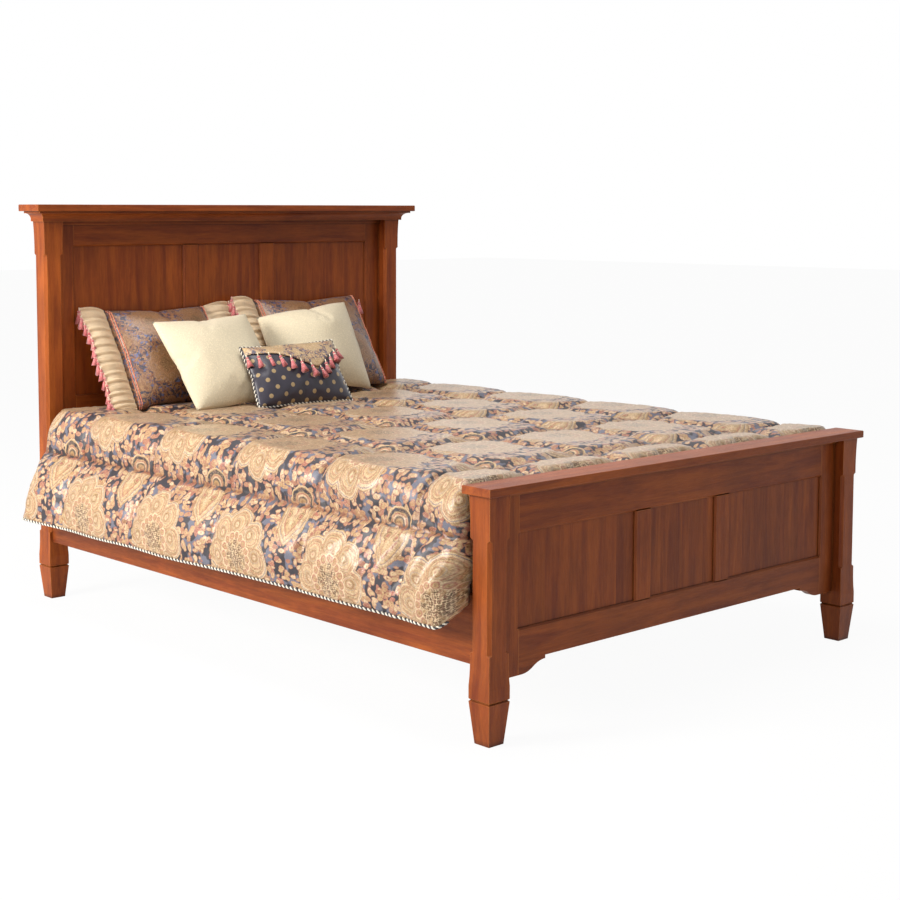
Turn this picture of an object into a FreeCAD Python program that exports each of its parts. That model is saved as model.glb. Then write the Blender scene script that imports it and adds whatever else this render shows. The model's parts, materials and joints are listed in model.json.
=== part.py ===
"""Panel bed, queen size: panelled headboard and footboard on square posts, side rails on
hook plates, slats on ledgers with a centre beam and legs, and the bedding that dresses it.

Millimetres.  X runs across the bed, +Y points to the headboard, +Z is up.  The origin is
on the floor at the middle of the bed.
"""
import FreeCAD, Part
import math
import os
import re

import Sketcher

V = FreeCAD.Vector

# name, size in millimetres (or a count or an angle in degrees), what it is
SIZES = (
    ("headboard_height", 1368, "floor to top of headboard cap"),
    ("footboard_height", 662, "floor to top of footboard cap"),
    ("post_size", 74, "square of a post at block and head"),
    ("waist_size", 69, "square of a post at its waist"),
    ("foot_tip", 52, "square of the tapered foot at the floor"),
    ("foot_rise", 110, "height of the tapered foot"),
    ("collar_rise", 7, "height of the V groove over the foot"),
    ("collar_depth", 4, "depth of the V groove"),
    ("block_top", 150, "top of the low block"),
    ("lower_flare_top", 212, "where the waist starts"),
    ("upper_flare", 90, "height of the flare at the post head"),
    ("arris_cut", 9, "leg of the stopped chamfer on the waist"),
    ("arris_stop", 26, "run-out of the stopped chamfer"),
    ("head_recess", 44, "headboard frame behind the post face"),
    ("foot_recess", 35, "footboard frame behind the post face"),
    ("frame_thick", 22, "stiles, rails and mullions"),
    ("stile_width", 67, "stile beside a post"),
    ("mullion_width", 69, "upright between panels"),
    ("centre_panel", 284, "seen width of the middle panel"),
    ("head_top_rail", 123, "top rail of the headboard, from the panels to the cap"),
    ("head_low_rail", 220, "bottom rail of the headboard"),
    ("head_frame_low", 480, "lower edge of headboard frame"),
    ("foot_top_rail", 113, "top rail of the footboard, from the panels to the cap"),
    ("foot_low_rail", 85, "bottom rail of the footboard between its scrolls"),
    ("foot_rail_low", 193, "straight lower edge of the footboard"),
    ("foot_frame_low", 157, "lower edge of footboard stiles"),
    ("scroll_step", 9, "small step where the scroll starts"),
    ("scroll_run", 90, "length of the scroll"),
    ("scroll_flat", 10, "flat between scroll and stile"),
    ("panel_groove", 9, "width of the panel groove"),
    ("panel_groove_depth", 10, "depth of the panel groove"),
    ("groove_setback", 8, "front lip before the panel groove"),
    ("panel_slack", 0.2, "clearance on each face of a panel"),
    ("panel_room", 1.5, "room for a panel to swell at its edges"),
    ("tenon_room", 0.5, "clearance at the end of a stub tenon"),
    ("sticking", 5, "bevel round the panel openings"),
    ("crown_bead", 8, "reach of the fillet under the cove"),
    ("crown_bead_rise", 6, "height of that fillet"),
    ("cove_radius", 22, "cove of the crown"),
    ("crown_step", 4, "step between cove and top fillet"),
    ("crown_top_rise", 7, "height of the top fillet"),
    ("head_cap_thick", 23, "headboard cap"),
    ("foot_cap_thick", 22, "footboard cap"),
    ("cap_lip", 13, "cap past what it covers"),
    ("cap_ease", 2.5, "radius on the cap edges"),
    ("strip_height", 12, "flat strip under crown and cap"),
    ("strip_thick", 8, "reach of the flat strip"),
    ("rail_thick", 25, "side rail"),
    ("rail_inset", 13, "side rail behind the block face"),
    ("rail_low", 200, "lower edge of a side rail"),
    ("rail_high", 380, "upper edge of a side rail"),
    ("rail_ease", 3, "radius on the rail edges"),
    ("plate_width", 18, "rail fastener plates"),
    ("plate_height", 130, "rail fastener plates"),
    ("plate_thick", 3, "rail fastener plates"),
    ("hook_thick", 3, "hook of the rail plate"),
    ("hook_neck", 14, "height of the hook where it passes the slot"),
    ("hook_drop", 9, "how far the hook hangs behind the slot"),
    ("hook_wall", 5, "hook behind the slotted plate"),
    ("hook_spread", 70, "between the two hooks of a plate"),
    ("slot_room", 1, "clearance about a hook"),
    ("plate_screw_spread", 104, "between the screws of a plate"),
    ("ledger_thick", 25, "ledger inside the side rail"),
    ("ledger_height", 28, "ledger inside the side rail"),
    ("ledger_rise", 3, "ledger over the rail's lower edge"),
    ("ledger_end", 60, "ledger end to post"),
    ("ledger_screws", 6, "screws in a ledger"),
    ("slat_thick", 19, "slat"),
    ("slat_width", 89, "slat"),
    ("slat_room", 4, "slat end to rail"),
    ("slat_end", 150, "first slat's middle to the post"),
    ("beam_width", 38, "centre beam"),
    ("beam_height", 60, "centre beam"),
    ("leg_size", 38, "centre leg"),
    ("leg_peg", 20, "round tenon on a centre leg"),
    ("leg_peg_length", 30, "round tenon on a centre leg"),
    ("leveller_disc", 30, "foot of a leveller"),
    ("leveller_rise", 8, "height of a leveller's foot"),
    ("leveller_stud", 8, "stud of a leveller"),
    ("leveller_stud_length", 30, "stud of a leveller"),
    ("dowel", 10, "dowel between stile and post"),
    ("dowel_length", 50, "dowel between stile and post"),
    ("cap_dowel", 12, "dowel between post and cap"),
    ("cap_dowel_length", 44, "dowel between post and cap"),
    ("cap_dowel_cover", 8, "wood left over a cap dowel"),
    ("screw_shank", 4.5, "wood screw"),
    ("screw_head", 9, "wood screw"),
    ("screw_sink", 2.5, "height of the countersunk head"),
    ("screw_length", 42, "ledger screws"),
    ("slat_screw_length", 36, "slat screws"),
    ("plate_screw_length", 32, "plate screws"),
    ("mattress_width", 1524, "queen mattress"),
    ("mattress_length", 2032, "queen mattress"),
    ("foundation_height", 180, "box spring"),
    ("mattress_height", 205, "mattress"),
    ("mattress_corner", 60, "corner radius in plan"),
    ("mattress_side_room", 10, "mattress to a side rail"),
    ("mattress_head_room", 10, "mattress to the headboard posts"),
    ("mattress_foot_room", 41, "mattress to the footboard posts"),
    ("mattress_edge", 20, "radius on the mattress edges"),
    ("foundation_edge", 12, "radius on the box spring edges"),
    ("comforter_thick", 27, "filled comforter"),
    ("comforter_rest", 0.3, "comforter over the mattress"),
    ("comforter_head", 20, "comforter's head edge to the post face"),
    ("comforter_foot", 3, "comforter's foot edge to the post face and cap"),
    ("comforter_hem", 298, "hem over the floor"),
    ("comforter_seam", 500, "side seam over the floor"),
    ("comforter_puff", 14, "swell of the rolls between seams"),
    ("comforter_pinch", 12, "how far a cross seam draws the rolls in"),
    ("quilt_pitch", 410, "between the cross seams of the comforter"),
    ("quilt_seam", -48, "place of the cross seam nearest the middle of the bed"),
    ("hem_reach_foot", 50, "hem past the block face at the foot"),
    ("hem_reach_head", 112, "hem past the block face at the head"),
    ("pillow_rest", 0.5, "pillow over the comforter"),
    ("pillow_gap", 0.5, "between pillows that lean on each other"),
    ("sham_width", 640, "sham with its side flounces"),
    ("sham_tall", 400, "sham"),
    ("sham_thick", 170, "sham"),
    ("sham_lean", 32, "sham back from upright"),
    ("cream_width", 430, "cream pillow"),
    ("cream_tall", 405, "cream pillow"),
    ("cream_thick", 140, "cream pillow"),
    ("cream_left_lean", 41, "left cream pillow back from upright"),
    ("cream_right_lean", 28, "right cream pillow back from upright"),
    ("cream_left_droop", 15, "left cream pillow's lower top corner"),
    ("cream_right_droop", 48, "right cream pillow's lower top corner"),
    ("cream_left_slump", 0, "height that the left cream pillow loses as it slumps"),
    ("cream_right_slump", 32, "height that the right cream pillow loses as it slumps"),
    ("cream_left_curl", 0, "corners of the left cream pillow behind its middle"),
    ("cream_right_curl", 60, "corners of the right cream pillow behind its middle"),
    ("cream_right_rear", 35, "swell of the back of the right cream pillow"),
    ("accent_width", 395, "small pillow"),
    ("accent_tall", 250, "small pillow"),
    ("accent_thick", 105, "small pillow"),
    ("accent_lean", 32, "small pillow back from upright"),
    ("accent_droop", 10, "small pillow's lower top corner"),
    ("sham_left_at", -342, "middle of the left sham"),
    ("sham_right_at", 300, "middle of the right sham"),
    ("cream_left_at", -245, "middle of the left cream pillow"),
    ("cream_right_at", 238, "middle of the right cream pillow"),
    ("accent_at", -50, "middle of the small pillow"),
    ("sham_turn", 0, "shams turned about upright"),
    ("cream_left_turn", 3, "left cream pillow turned about upright"),
    ("cream_right_turn", -2, "right cream pillow turned about upright"),
    ("accent_turn", -5, "small pillow turned about upright"),
)

# places and lengths that follow from the sizes
FORMULAS = {
    "mattress_half": "mattress_width / 2",
    "outer_half": "mattress_half + mattress_side_room + rail_thick + rail_inset",
    "rail_length": "mattress_length + mattress_head_room + mattress_foot_room",
    "post_inner": "outer_half - post_size",
    "post_middle": "outer_half - post_size / 2",
    "head_face": "rail_length / 2",
    "head_middle": "head_face + post_size / 2",
    "head_back": "head_face + post_size",
    "foot_back": "-rail_length / 2",
    "foot_middle": "foot_back - post_size / 2",
    "foot_face": "foot_back - post_size",
    "head_cap_low": "headboard_height - head_cap_thick",
    "foot_cap_low": "footboard_height - foot_cap_thick",
    "head_panel_low": "head_frame_low + head_low_rail",
    "head_panel_high": "head_cap_low - head_top_rail",
    "foot_panel_low": "foot_rail_low + foot_low_rail",
    "foot_panel_high": "foot_cap_low - foot_top_rail",
    "crown_reach": "crown_bead + cove_radius + crown_step",
    "crown_drop": "crown_bead_rise + cove_radius + crown_top_rise",
    "crown_low": "head_cap_low - crown_drop",
    "head_frame": "head_face + head_recess",
    "foot_frame": "foot_face + foot_recess",
    "stile_edge": "post_inner - stile_width",
    "mullion_inner": "centre_panel / 2",
    "mullion_outer": "mullion_inner + mullion_width",
    "rail_outer": "outer_half - rail_inset",
    "rail_inner": "rail_outer - rail_thick",
    "rail_middle": "rail_outer - rail_thick / 2",
    "rail_centre": "(rail_low + rail_high) / 2",
    "hook_reach": "plate_thick + slot_room + hook_wall",
    "ledger_low": "rail_low + ledger_rise",
    "ledger_top": "ledger_low + ledger_height",
    "ledger_inner": "rail_inner - ledger_thick",
    "ledger_half": "rail_length / 2 - ledger_end",
    "ledger_run": "2 * ledger_half - 2 * ledger_end",
    "slat_top": "ledger_top + slat_thick",
    "slat_half": "rail_inner - slat_room",
    "slat_run": "rail_length - 2 * slat_end",
    "beam_half": "slat_run / 2 + slat_width / 2",
    "beam_low": "ledger_top - beam_height",
    "foundation_top": "slat_top + foundation_height",
    "mattress_top": "foundation_top + mattress_height",
    "mattress_head": "head_face - mattress_head_room",
    "mattress_foot": "mattress_head - mattress_length",
    "comforter_top": "mattress_top + comforter_rest + comforter_thick",
    "comforter_fall": "comforter_top - foot_cap_low + comforter_foot",
    "flare_in": "(post_size - waist_size) / 2",
    "rail_end": "head_face + flare_in",
    "lower_flare_rise": "lower_flare_top - block_top",
    "lower_flare_radius": "(lower_flare_rise ^ 2 + flare_in ^ 2) / (2 * flare_in)",
    "upper_flare_radius": "(upper_flare ^ 2 + flare_in ^ 2) / (2 * flare_in)",
    "scroll_fall": "foot_rail_low - scroll_step - foot_frame_low",
    "scroll_start": "stile_edge - scroll_flat - scroll_run",
    "scroll_radius": "(scroll_run ^ 2 + scroll_fall ^ 2) / (4 * scroll_fall)",
}
NAMES = {name for name, size, note in SIZES}
LEFT, RIGHT = -1, 1
SIDE_NAMES = {LEFT: "left", RIGHT: "right"}

doc = FreeCAD.newDocument("panel_bed")
sheet = doc.addObject("Spreadsheet::Sheet", "size")
for row, (name, size, note) in enumerate(SIZES, start=1):
    sheet.set(f"A{row}", name)
    sheet.set(f"B{row}", str(size))
    sheet.set(f"C{row}", note)
    sheet.setAlias(f"B{row}", name)
doc.recompute()

finished = []


def bound(formula):
    """A formula in plain names, written out in the sheet's cells."""
    def cell(match):
        word = match.group(0)
        if word in FORMULAS:
            return "(" + bound(FORMULAS[word]) + ")"
        return "size." + word if word in NAMES else word
    return re.sub(r"[A-Za-z_]\w*", cell, str(formula))


def amount(formula):
    """The number that a formula comes to."""
    return float(sheet.evalExpression(bound(formula)))


# ---------------------------------------------------------------- sketches and features

def new_body(label):
    body = doc.addObject("PartDesign::Body", label)
    body.Label = label
    return body


def keep(piece, label):
    """Name a sub-part and put it on the list that is written out."""
    piece.Label = label
    finished.append(piece)
    return piece


def origin_plane(body, role):
    return next(f for f in body.Origin.OriginFeatures if f.Role == role)


def new_sketch(body, role, offset="0"):
    """A sketch on one of the body's planes, moved along the plane's normal."""
    number = len([o for o in body.Group if o.isDerivedFrom("Sketcher::SketchObject")])
    sketch = body.newObject("Sketcher::SketchObject", f"{body.Name}_outline_{number + 1}")
    sketch.AttachmentSupport = [(origin_plane(body, role), "")]
    sketch.MapMode = "FlatFace"
    sketch.setExpression("AttachmentOffset.Base.z", bound(offset))
    return sketch


def arc_middle(start, end, radius, side):
    """The middle of the short arc from start to end that bulges to its left (1) or right."""
    chord = end - start
    half = chord.Length / 2
    rise = radius - math.sqrt(max(radius * radius - half * half, 0))
    left = V(-chord.y, chord.x, 0).normalize()
    return (start + end) / 2 + left * (rise * side)


def draw(sketch, corners, arcs=None):
    """Draw a closed outline through corners, pairs of formulas.

    arcs gives, for the side that leaves a corner, its radius and which way it bulges.
    """
    arcs = arcs or {}
    first = sketch.GeometryCount
    count = len(corners)
    spots = [V(amount(across), amount(up), 0) for across, up in corners]
    for i, spot in enumerate(spots):
        after = spots[(i + 1) % count]
        if i in arcs:
            radius, side = arcs[i]
            middle = arc_middle(spot, after, amount(radius), side)
            sketch.addGeometry(Part.Arc(spot, middle, after), False)
        else:
            sketch.addGeometry(Part.LineSegment(spot, after), False)
    starts = {}
    for i in range(count):
        turned_round = (sketch.getPoint(first + i, 1) - spots[i]).Length > 1e-6
        starts[i] = (2, 1) if turned_round else (1, 2)
    for i in range(count):
        after = (i + 1) % count
        sketch.addConstraint(Sketcher.Constraint(
            "Coincident", first + i, starts[i][1], first + after, starts[after][0]))
    for i, (across, up) in enumerate(corners):
        for kind, formula, axis, number in (("DistanceX", across, -2, spots[i].x),
                                            ("DistanceY", up, -1, spots[i].y)):
            point = (first + i, starts[i][0])
            if abs(number) < 1e-9:
                sketch.addConstraint(Sketcher.Constraint("PointOnObject", *point, axis))
                continue
            index = sketch.addConstraint(Sketcher.Constraint(kind, -1, 1, *point, number))
            sketch.setExpression(f"Constraints[{index}]", bound(formula))
    for i, (radius, side) in arcs.items():
        index = sketch.addConstraint(
            Sketcher.Constraint("Radius", first + i, amount(radius)))
        sketch.setExpression(f"Constraints[{index}]", bound(radius))


def box_corners(left, right, low, high):
    return [(left, low), (right, low), (right, high), (left, high)]


def mirrored_span(side, near, far):
    """The ends of a span on one side of the bed, given outwards from the middle."""
    return f"{side} * ({near})", f"{side} * ({far})"


def add(body, role, low, high, *outlines):
    """Pad outlines between two places along the normal of a plane of the body."""
    start = f"-({high})" if role == "XZ_Plane" else low
    sketch = new_sketch(body, role, start)
    for outline in outlines:
        draw(sketch, *outline)
    pad = body.newObject("PartDesign::Pad", f"{body.Name}_pad")
    pad.Profile = sketch
    pad.setExpression("Length", bound(f"({high}) - ({low})"))
    doc.recompute()
    return pad


def cut(body, role, low, high, *outlines):
    """Pocket outlines between two places along the normal; it has to remove wood."""
    before = body.Shape.Volume
    start = f"-({low})" if role == "XZ_Plane" else high
    sketch = new_sketch(body, role, start)
    for outline in outlines:
        draw(sketch, *outline)
    pocket = body.newObject("PartDesign::Pocket", f"{body.Name}_pocket")
    pocket.Profile = sketch
    pocket.setExpression("Length", bound(f"({high}) - ({low})"))
    doc.recompute()
    if body.Shape.Volume > before - 0.01:
        raise RuntimeError(f"{body.Label}: a pocket removes nothing")
    return pocket


def ease(body, radius, wanted):
    """Round the edges of a body that wanted picks by their ends."""
    names = [f"Edge{n}" for n, edge in enumerate(body.Shape.Edges, start=1)
             if len(edge.Vertexes) == 2 and wanted(*(v.Point for v in edge.Vertexes))]
    fillet = body.newObject("PartDesign::Fillet", f"{body.Name}_ease")
    fillet.Base = (fillet.BaseFeature, names)
    fillet.setExpression("Radius", bound(radius))
    doc.recompute()
    return fillet


def fitted(label, blank, *tools):
    """A sub-part that is cut to fit the pieces that pass into it."""
    blank.Label = label + "_blank"
    piece = blank
    for number, tool in enumerate(tools, start=1):
        cut_piece = doc.addObject("Part::Cut", f"{label}_fit_{number}")
        cut_piece.Base = piece
        cut_piece.Tool = tool
        cut_piece.Refine = True
        cut_piece.Label = f"{label}_fit_{number}"
        piece = cut_piece
    doc.recompute()
    return keep(piece, label)


def board(label, x_span, y_span, z_span):
    """A plain board between three pairs of formulas."""
    body = new_body(label)
    add(body, "XY_Plane", *z_span, (box_corners(*x_span, *y_span),))
    return body


def both_ways(body, originals, *roles):
    """Mirror features about planes of the body, as separate solids."""
    pattern = body.newObject("PartDesign::MultiTransform", f"{body.Name}_mirrored")
    steps = []
    for role in roles:
        mirror = body.newObject("PartDesign::Mirrored", f"{body.Name}_mirror")
        mirror.MirrorPlane = (origin_plane(body, role), [""])
        steps.append(mirror)
    pattern.Originals = originals
    pattern.Transformations = steps
    body.Tip = pattern
    doc.recompute()
    return pattern


def turned(body, role, at, outline, axis="H_Axis"):
    """Turn an outline, drawn about a point of the bed, through a full circle."""
    across, along, up = at
    offsets = {"YZ_Plane": (along, up, across), "XZ_Plane": (across, up, f"-({along})")}
    sketch = new_sketch(body, role, offsets[role][2])
    sketch.setExpression("AttachmentOffset.Base.x", bound(offsets[role][0]))
    sketch.setExpression("AttachmentOffset.Base.y", bound(offsets[role][1]))
    draw(sketch, outline)
    turn = body.newObject("PartDesign::Revolution", f"{body.Name}_turned")
    turn.Profile = sketch
    turn.ReferenceAxis = (sketch, [axis])
    turn.Angle = 360
    doc.recompute()
    return turn


def screw_outline(length, way):
    """Half of a countersunk screw from its head, which way it points along the axis."""
    return [("0", "0"), ("0", "screw_head / 2"), (f"{way} * screw_sink", "screw_shank / 2"),
            (f"{way} * ({length} - screw_shank)", "screw_shank / 2"),
            (f"{way} * {length}", "0")]


def standing_screw_outline(length):
    """The same screw along the upright axis, pointing down."""
    return [(across, along) for along, across in screw_outline(length, -1)]


def dowel_outline(size, length):
    return [(f"-{length} / 2", "0"), (f"-{length} / 2", f"{size} / 2"),
            (f"{length} / 2", f"{size} / 2"), (f"{length} / 2", "0")]


def row_along(body, originals, run, count, mirrored=False):
    """Repeat features along the bed, and across it when mirrored."""
    pattern = body.newObject("PartDesign::MultiTransform", f"{body.Name}_rows")
    row = body.newObject("PartDesign::LinearPattern", f"{body.Name}_row")
    row.Direction = (origin_plane(body, "Y_Axis"), [""])
    row.setExpression("Length", bound(run))
    row.setExpression("Occurrences", bound(count))
    steps = [row]
    if mirrored:
        mirror = body.newObject("PartDesign::Mirrored", f"{body.Name}_mirror")
        mirror.MirrorPlane = (origin_plane(body, "YZ_Plane"), [""])
        steps.append(mirror)
    pattern.Originals = originals
    pattern.Transformations = steps
    body.Tip = pattern
    doc.recompute()


# ---------------------------------------------------------------------- posts

def post_outline(middle, top, flare_top):
    """Corners and arcs of a post seen square on, about its middle line."""
    right = [("foot_tip / 2", "0"),
             ("post_size / 2", "foot_rise"),
             ("post_size / 2 - collar_depth", "foot_rise + collar_rise / 2"),
             ("post_size / 2", "foot_rise + collar_rise"),
             ("post_size / 2", "block_top"),
             ("waist_size / 2", "lower_flare_top"),
             ("waist_size / 2", f"{flare_top} - upper_flare"),
             ("post_size / 2", flare_top)]
    if flare_top != top:
        right.append(("post_size / 2", top))
    count = len(right)
    corners = [(f"{middle} + {half}", up) for half, up in right]
    corners += [(f"{middle} - ({half})", up) for half, up in reversed(right)]
    lower = ("lower_flare_radius", 1)
    upper = ("upper_flare_radius", 1)
    last = 2 * count - 1
    arcs = {4: lower, 6: upper, last - 7: upper, last - 5: lower}
    return corners, arcs


def cut_arrises(body, across, along, top):
    """Stopped chamfers on the four arrises of a post's waist."""
    low, high = "lower_flare_top", f"{top} - upper_flare"
    deep, clear = "(waist_size - arris_cut) / sqrt(2)", "post_size"
    for turn in (45, -45):
        before = body.Shape.Volume
        sketch = new_sketch(body, "XZ_Plane", f"-({along})")
        sketch.AttachmentOffset = FreeCAD.Placement(V(), FreeCAD.Rotation(V(0, 1, 0), turn))
        sketch.setExpression("AttachmentOffset.Base.x", bound(across))
        sketch.setExpression("AttachmentOffset.Base.z", bound(f"-({along})"))
        for way in (LEFT, RIGHT):
            draw(sketch, [(f"{way} * {deep}", f"{low} + arris_stop"),
                          (f"{way} * {deep}", f"{high} - arris_stop"),
                          (f"{way} * {clear}", high),
                          (f"{way} * {clear}", low)])
        pocket = body.newObject("PartDesign::Pocket", f"{body.Name}_arrises")
        pocket.Profile = sketch
        pocket.SideType = "Symmetric"
        pocket.setExpression("Length", bound("2 * post_size"))
        doc.recompute()
        if body.Shape.Volume > before - 0.01:
            raise RuntimeError(f"{body.Label}: the arrises are not cut")


def plate_face(side=RIGHT):
    """The outline of a rail fastener's plate, seen along the bed."""
    return box_corners(f"{side} * rail_middle - plate_width / 2",
                       f"{side} * rail_middle + plate_width / 2",
                       "rail_centre - plate_height / 2", "rail_centre + plate_height / 2")


def hook_heights():
    """The lower edge of each hook's neck."""
    return [f"rail_centre + {way} * hook_spread / 2 - hook_neck / 2" for way in (-1, 1)]


def make_post(end, side, tools):
    """A square post with its block, tapered foot and the seat of the rail fastener."""
    label = f"{end}board_post_{SIDE_NAMES[side]}"
    top, flare_top = (("head_cap_low", "crown_low") if end == "head"
                      else ("foot_cap_low", "foot_cap_low"))
    across, along = f"{side} * post_middle", f"{end}_middle"
    body = new_body(label)
    add(body, "XZ_Plane", f"{along} - post_size / 2", f"{along} + post_size / 2",
        post_outline(across, top, flare_top))
    around = box_corners(f"{along} - post_size", f"{along} + post_size",
                         "-post_size", f"{top} + post_size")
    cut(body, "YZ_Plane", f"{across} - post_size", f"{across} + post_size",
        (around,), post_outline(along, top, flare_top))
    cut_arrises(body, across, along, flare_top)
    depths = ("plate_thick", "hook_reach + slot_room")
    if end == "head":
        spans = [("rail_end", f"rail_end + {deep}") for deep in depths]
    else:
        spans = [(f"-(rail_end + {deep})", "-rail_end") for deep in depths]
    cut(body, "XZ_Plane", *spans[0], (plate_face(side),))
    slots = [(box_corners(f"{side} * rail_middle - hook_thick / 2 - slot_room",
                          f"{side} * rail_middle + hook_thick / 2 + slot_room",
                          f"{low} - hook_drop - slot_room",
                          f"{low} + hook_neck + hook_drop + slot_room"),)
             for low in hook_heights()]
    cut(body, "XZ_Plane", *spans[1], *slots)
    return fitted(label, body, *tools)


# ------------------------------------------------------------- panelled frames

def groove_span(frame):
    """Front and back of the panel groove of a frame."""
    front = f"{frame} + groove_setback"
    return front, f"{front} + panel_groove"


def frame_depth(frame):
    return frame, f"{frame} + frame_thick"


def bevel_outline(edge, way, face):
    """A corner bevel: edge of the opening, which way the wood lies, face of the frame."""
    return [(edge, face), (f"{edge} + {way} * sticking", face),
            (edge, f"{face} + sticking")]


def make_stile(prefix, side, frame, low, panel_low, panel_high, top, tools):
    """The upright beside a post, grooved for the panel and scribed to the post."""
    label = f"{prefix}_stile_{SIDE_NAMES[side]}"
    body = new_body(label)
    reach = mirrored_span(side, "stile_edge", "post_inner + flare_in")
    add(body, "XY_Plane", low, top, (box_corners(*reach, *frame_depth(frame)),))
    groove = mirrored_span(side, "stile_edge", "stile_edge + panel_groove_depth")
    cut(body, "XY_Plane", low, top, (box_corners(*groove, *groove_span(frame)),))
    cut(body, "XY_Plane", panel_low, panel_high,
        (bevel_outline(f"{side} * stile_edge", side, frame),))
    return fitted(label, body, *tools)


def make_rail(label, frame, low, high, panel_edge, outline=None):
    """A rail between the stiles: stub tenons at its ends, a groove along one edge."""
    body = new_body(label)
    shape = outline or (box_corners("-stile_edge", "stile_edge", low, high),)
    add(body, "XZ_Plane", *frame_depth(frame), shape)
    for side in (LEFT, RIGHT):
        reach = mirrored_span(side, "stile_edge", "stile_edge + panel_groove_depth - tenon_room")
        add(body, "XZ_Plane", *groove_span(frame), (box_corners(*reach, low, high),))
    groove_low, groove_high = ((high + " - panel_groove_depth", high) if panel_edge == high
                               else (low, low + " + panel_groove_depth"))
    span = box_corners(*groove_span(frame), groove_low, groove_high)
    cut(body, "YZ_Plane", "-post_inner", "post_inner", (span,))
    way = -1 if panel_edge == high else 1
    bevel = [(frame, panel_edge), (frame, f"{panel_edge} + {way} * sticking"),
             (f"{frame} + sticking", panel_edge)]
    cut(body, "YZ_Plane", "-stile_edge", "stile_edge", (bevel,))
    return keep(body, label)


def make_mullion(prefix, side, frame, panel_low, panel_high):
    """The upright between two panels, with stub tenons in the rails."""
    label = f"{prefix}_mullion_{SIDE_NAMES[side]}"
    body = new_body(label)
    span = mirrored_span(side, "mullion_inner", "mullion_outer")
    add(body, "XY_Plane", panel_low, panel_high,
        (box_corners(*span, *frame_depth(frame)),))
    tenon = "panel_groove_depth - tenon_room"
    add(body, "XY_Plane", f"{panel_low} - ({tenon})", f"{panel_high} + {tenon}",
        (box_corners(*span, *groove_span(frame)),))
    grooves = []
    bevels = []
    for edge, way in (("mullion_inner", 1), ("mullion_outer", -1)):
        groove = mirrored_span(side, edge, f"{edge} + {way} * panel_groove_depth")
        grooves.append((box_corners(*groove, *groove_span(frame)),))
        bevels.append((bevel_outline(f"{side} * {edge}", side * way, frame),))
    cut(body, "XY_Plane", f"{panel_low} - panel_groove_depth",
        f"{panel_high} + panel_groove_depth", *grooves)
    cut(body, "XY_Plane", panel_low, panel_high, *bevels)
    return keep(body, label)


def make_panels(prefix, frame, panel_low, panel_high):
    """Three flat panels held loosely in the grooves."""
    tongue = "panel_groove_depth - panel_room"
    front, back = groove_span(frame)
    for place, near, far in (("left", "-stile_edge", "-mullion_outer"),
                             ("centre", "-mullion_inner", "mullion_inner"),
                             ("right", "mullion_outer", "stile_edge")):
        label = f"{prefix}_panel_{place}"
        keep(board(label, (f"{near} - ({tongue})", f"{far} + {tongue}"),
                   (f"{front} + panel_slack", f"{back} - panel_slack"),
                   (f"{panel_low} - ({tongue})", f"{panel_high} + {tongue}")), label)


def scroll_outline():
    """The footboard's bottom rail: straight, then an ogee down to the stile each side."""
    right = [("scroll_start", "foot_rail_low"),
             ("scroll_start", "foot_rail_low - scroll_step"),
             ("scroll_start + scroll_run / 2", "foot_frame_low + scroll_fall / 2"),
             ("scroll_start + scroll_run", "foot_frame_low"),
             ("stile_edge", "foot_frame_low"),
             ("stile_edge", "foot_panel_low")]
    left = [(f"-({across})", up) for across, up in reversed(right)]
    arcs = {1: ("scroll_radius", 1), 2: ("scroll_radius", -1),
            8: ("scroll_radius", -1), 9: ("scroll_radius", 1)}
    return right + left, arcs


# ------------------------------------------------------------------ mouldings

def crown_outline(origin, way):
    """Section of the crown: fillet, cove, step and top fillet, out from a face."""
    steps = [("0", "0"), ("crown_bead", "0"), ("crown_bead", "crown_bead_rise"),
             ("crown_bead + cove_radius", "crown_bead_rise + cove_radius"),
             ("crown_reach", "crown_bead_rise + cove_radius"),
             ("crown_reach", "crown_drop"), ("0", "crown_drop")]
    corners = [(f"{origin} + {way} * ({out})", f"crown_low + {up}") for out, up in steps]
    return corners, {2: ("cove_radius", way)}


def make_crown():
    """The crown moulding, mitred round the front and sides of the headboard."""
    front = new_body("headboard_crown_front")
    add(front, "YZ_Plane", "-(outer_half + crown_reach)", "outer_half + crown_reach",
        crown_outline("head_face", -1))
    far = "crown_reach + 1"
    for side in (LEFT, RIGHT):
        mitre = [(f"{side} * outer_half", "head_face"),
                 (f"{side} * (outer_half + {far})", f"head_face - ({far})"),
                 (f"{side} * (outer_half + {far})", "head_face")]
        cut(front, "XY_Plane", "crown_low", "head_cap_low", (mitre,))
    keep(front, "headboard_crown_front")
    for side in (LEFT, RIGHT):
        label = f"headboard_crown_return_{SIDE_NAMES[side]}"
        body = new_body(label)
        add(body, "XZ_Plane", "head_face - crown_reach", "head_back",
            crown_outline(f"{side} * outer_half", side))
        mitre = [(f"{side} * outer_half", "head_face"),
                 (f"{side} * outer_half", f"head_face - ({far})"),
                 (f"{side} * (outer_half + {far})", f"head_face - ({far})")]
        cut(body, "XY_Plane", "crown_low", "head_cap_low", (mitre,))
        keep(body, label)


def make_cap(label, x_half, y_span, z_span, tool):
    """A flat cap with eased edges all round."""
    body = board(label, (f"-({x_half})", x_half), y_span, z_span)
    heights = [amount(z) for z in z_span]
    ease(body, "cap_ease", lambda a, b: abs(a.z - b.z) < 0.01
         and any(abs(a.z - up) < 0.01 for up in heights))
    return fitted(label, body, tool)


# ------------------------------------------------------------------ hardware

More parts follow.
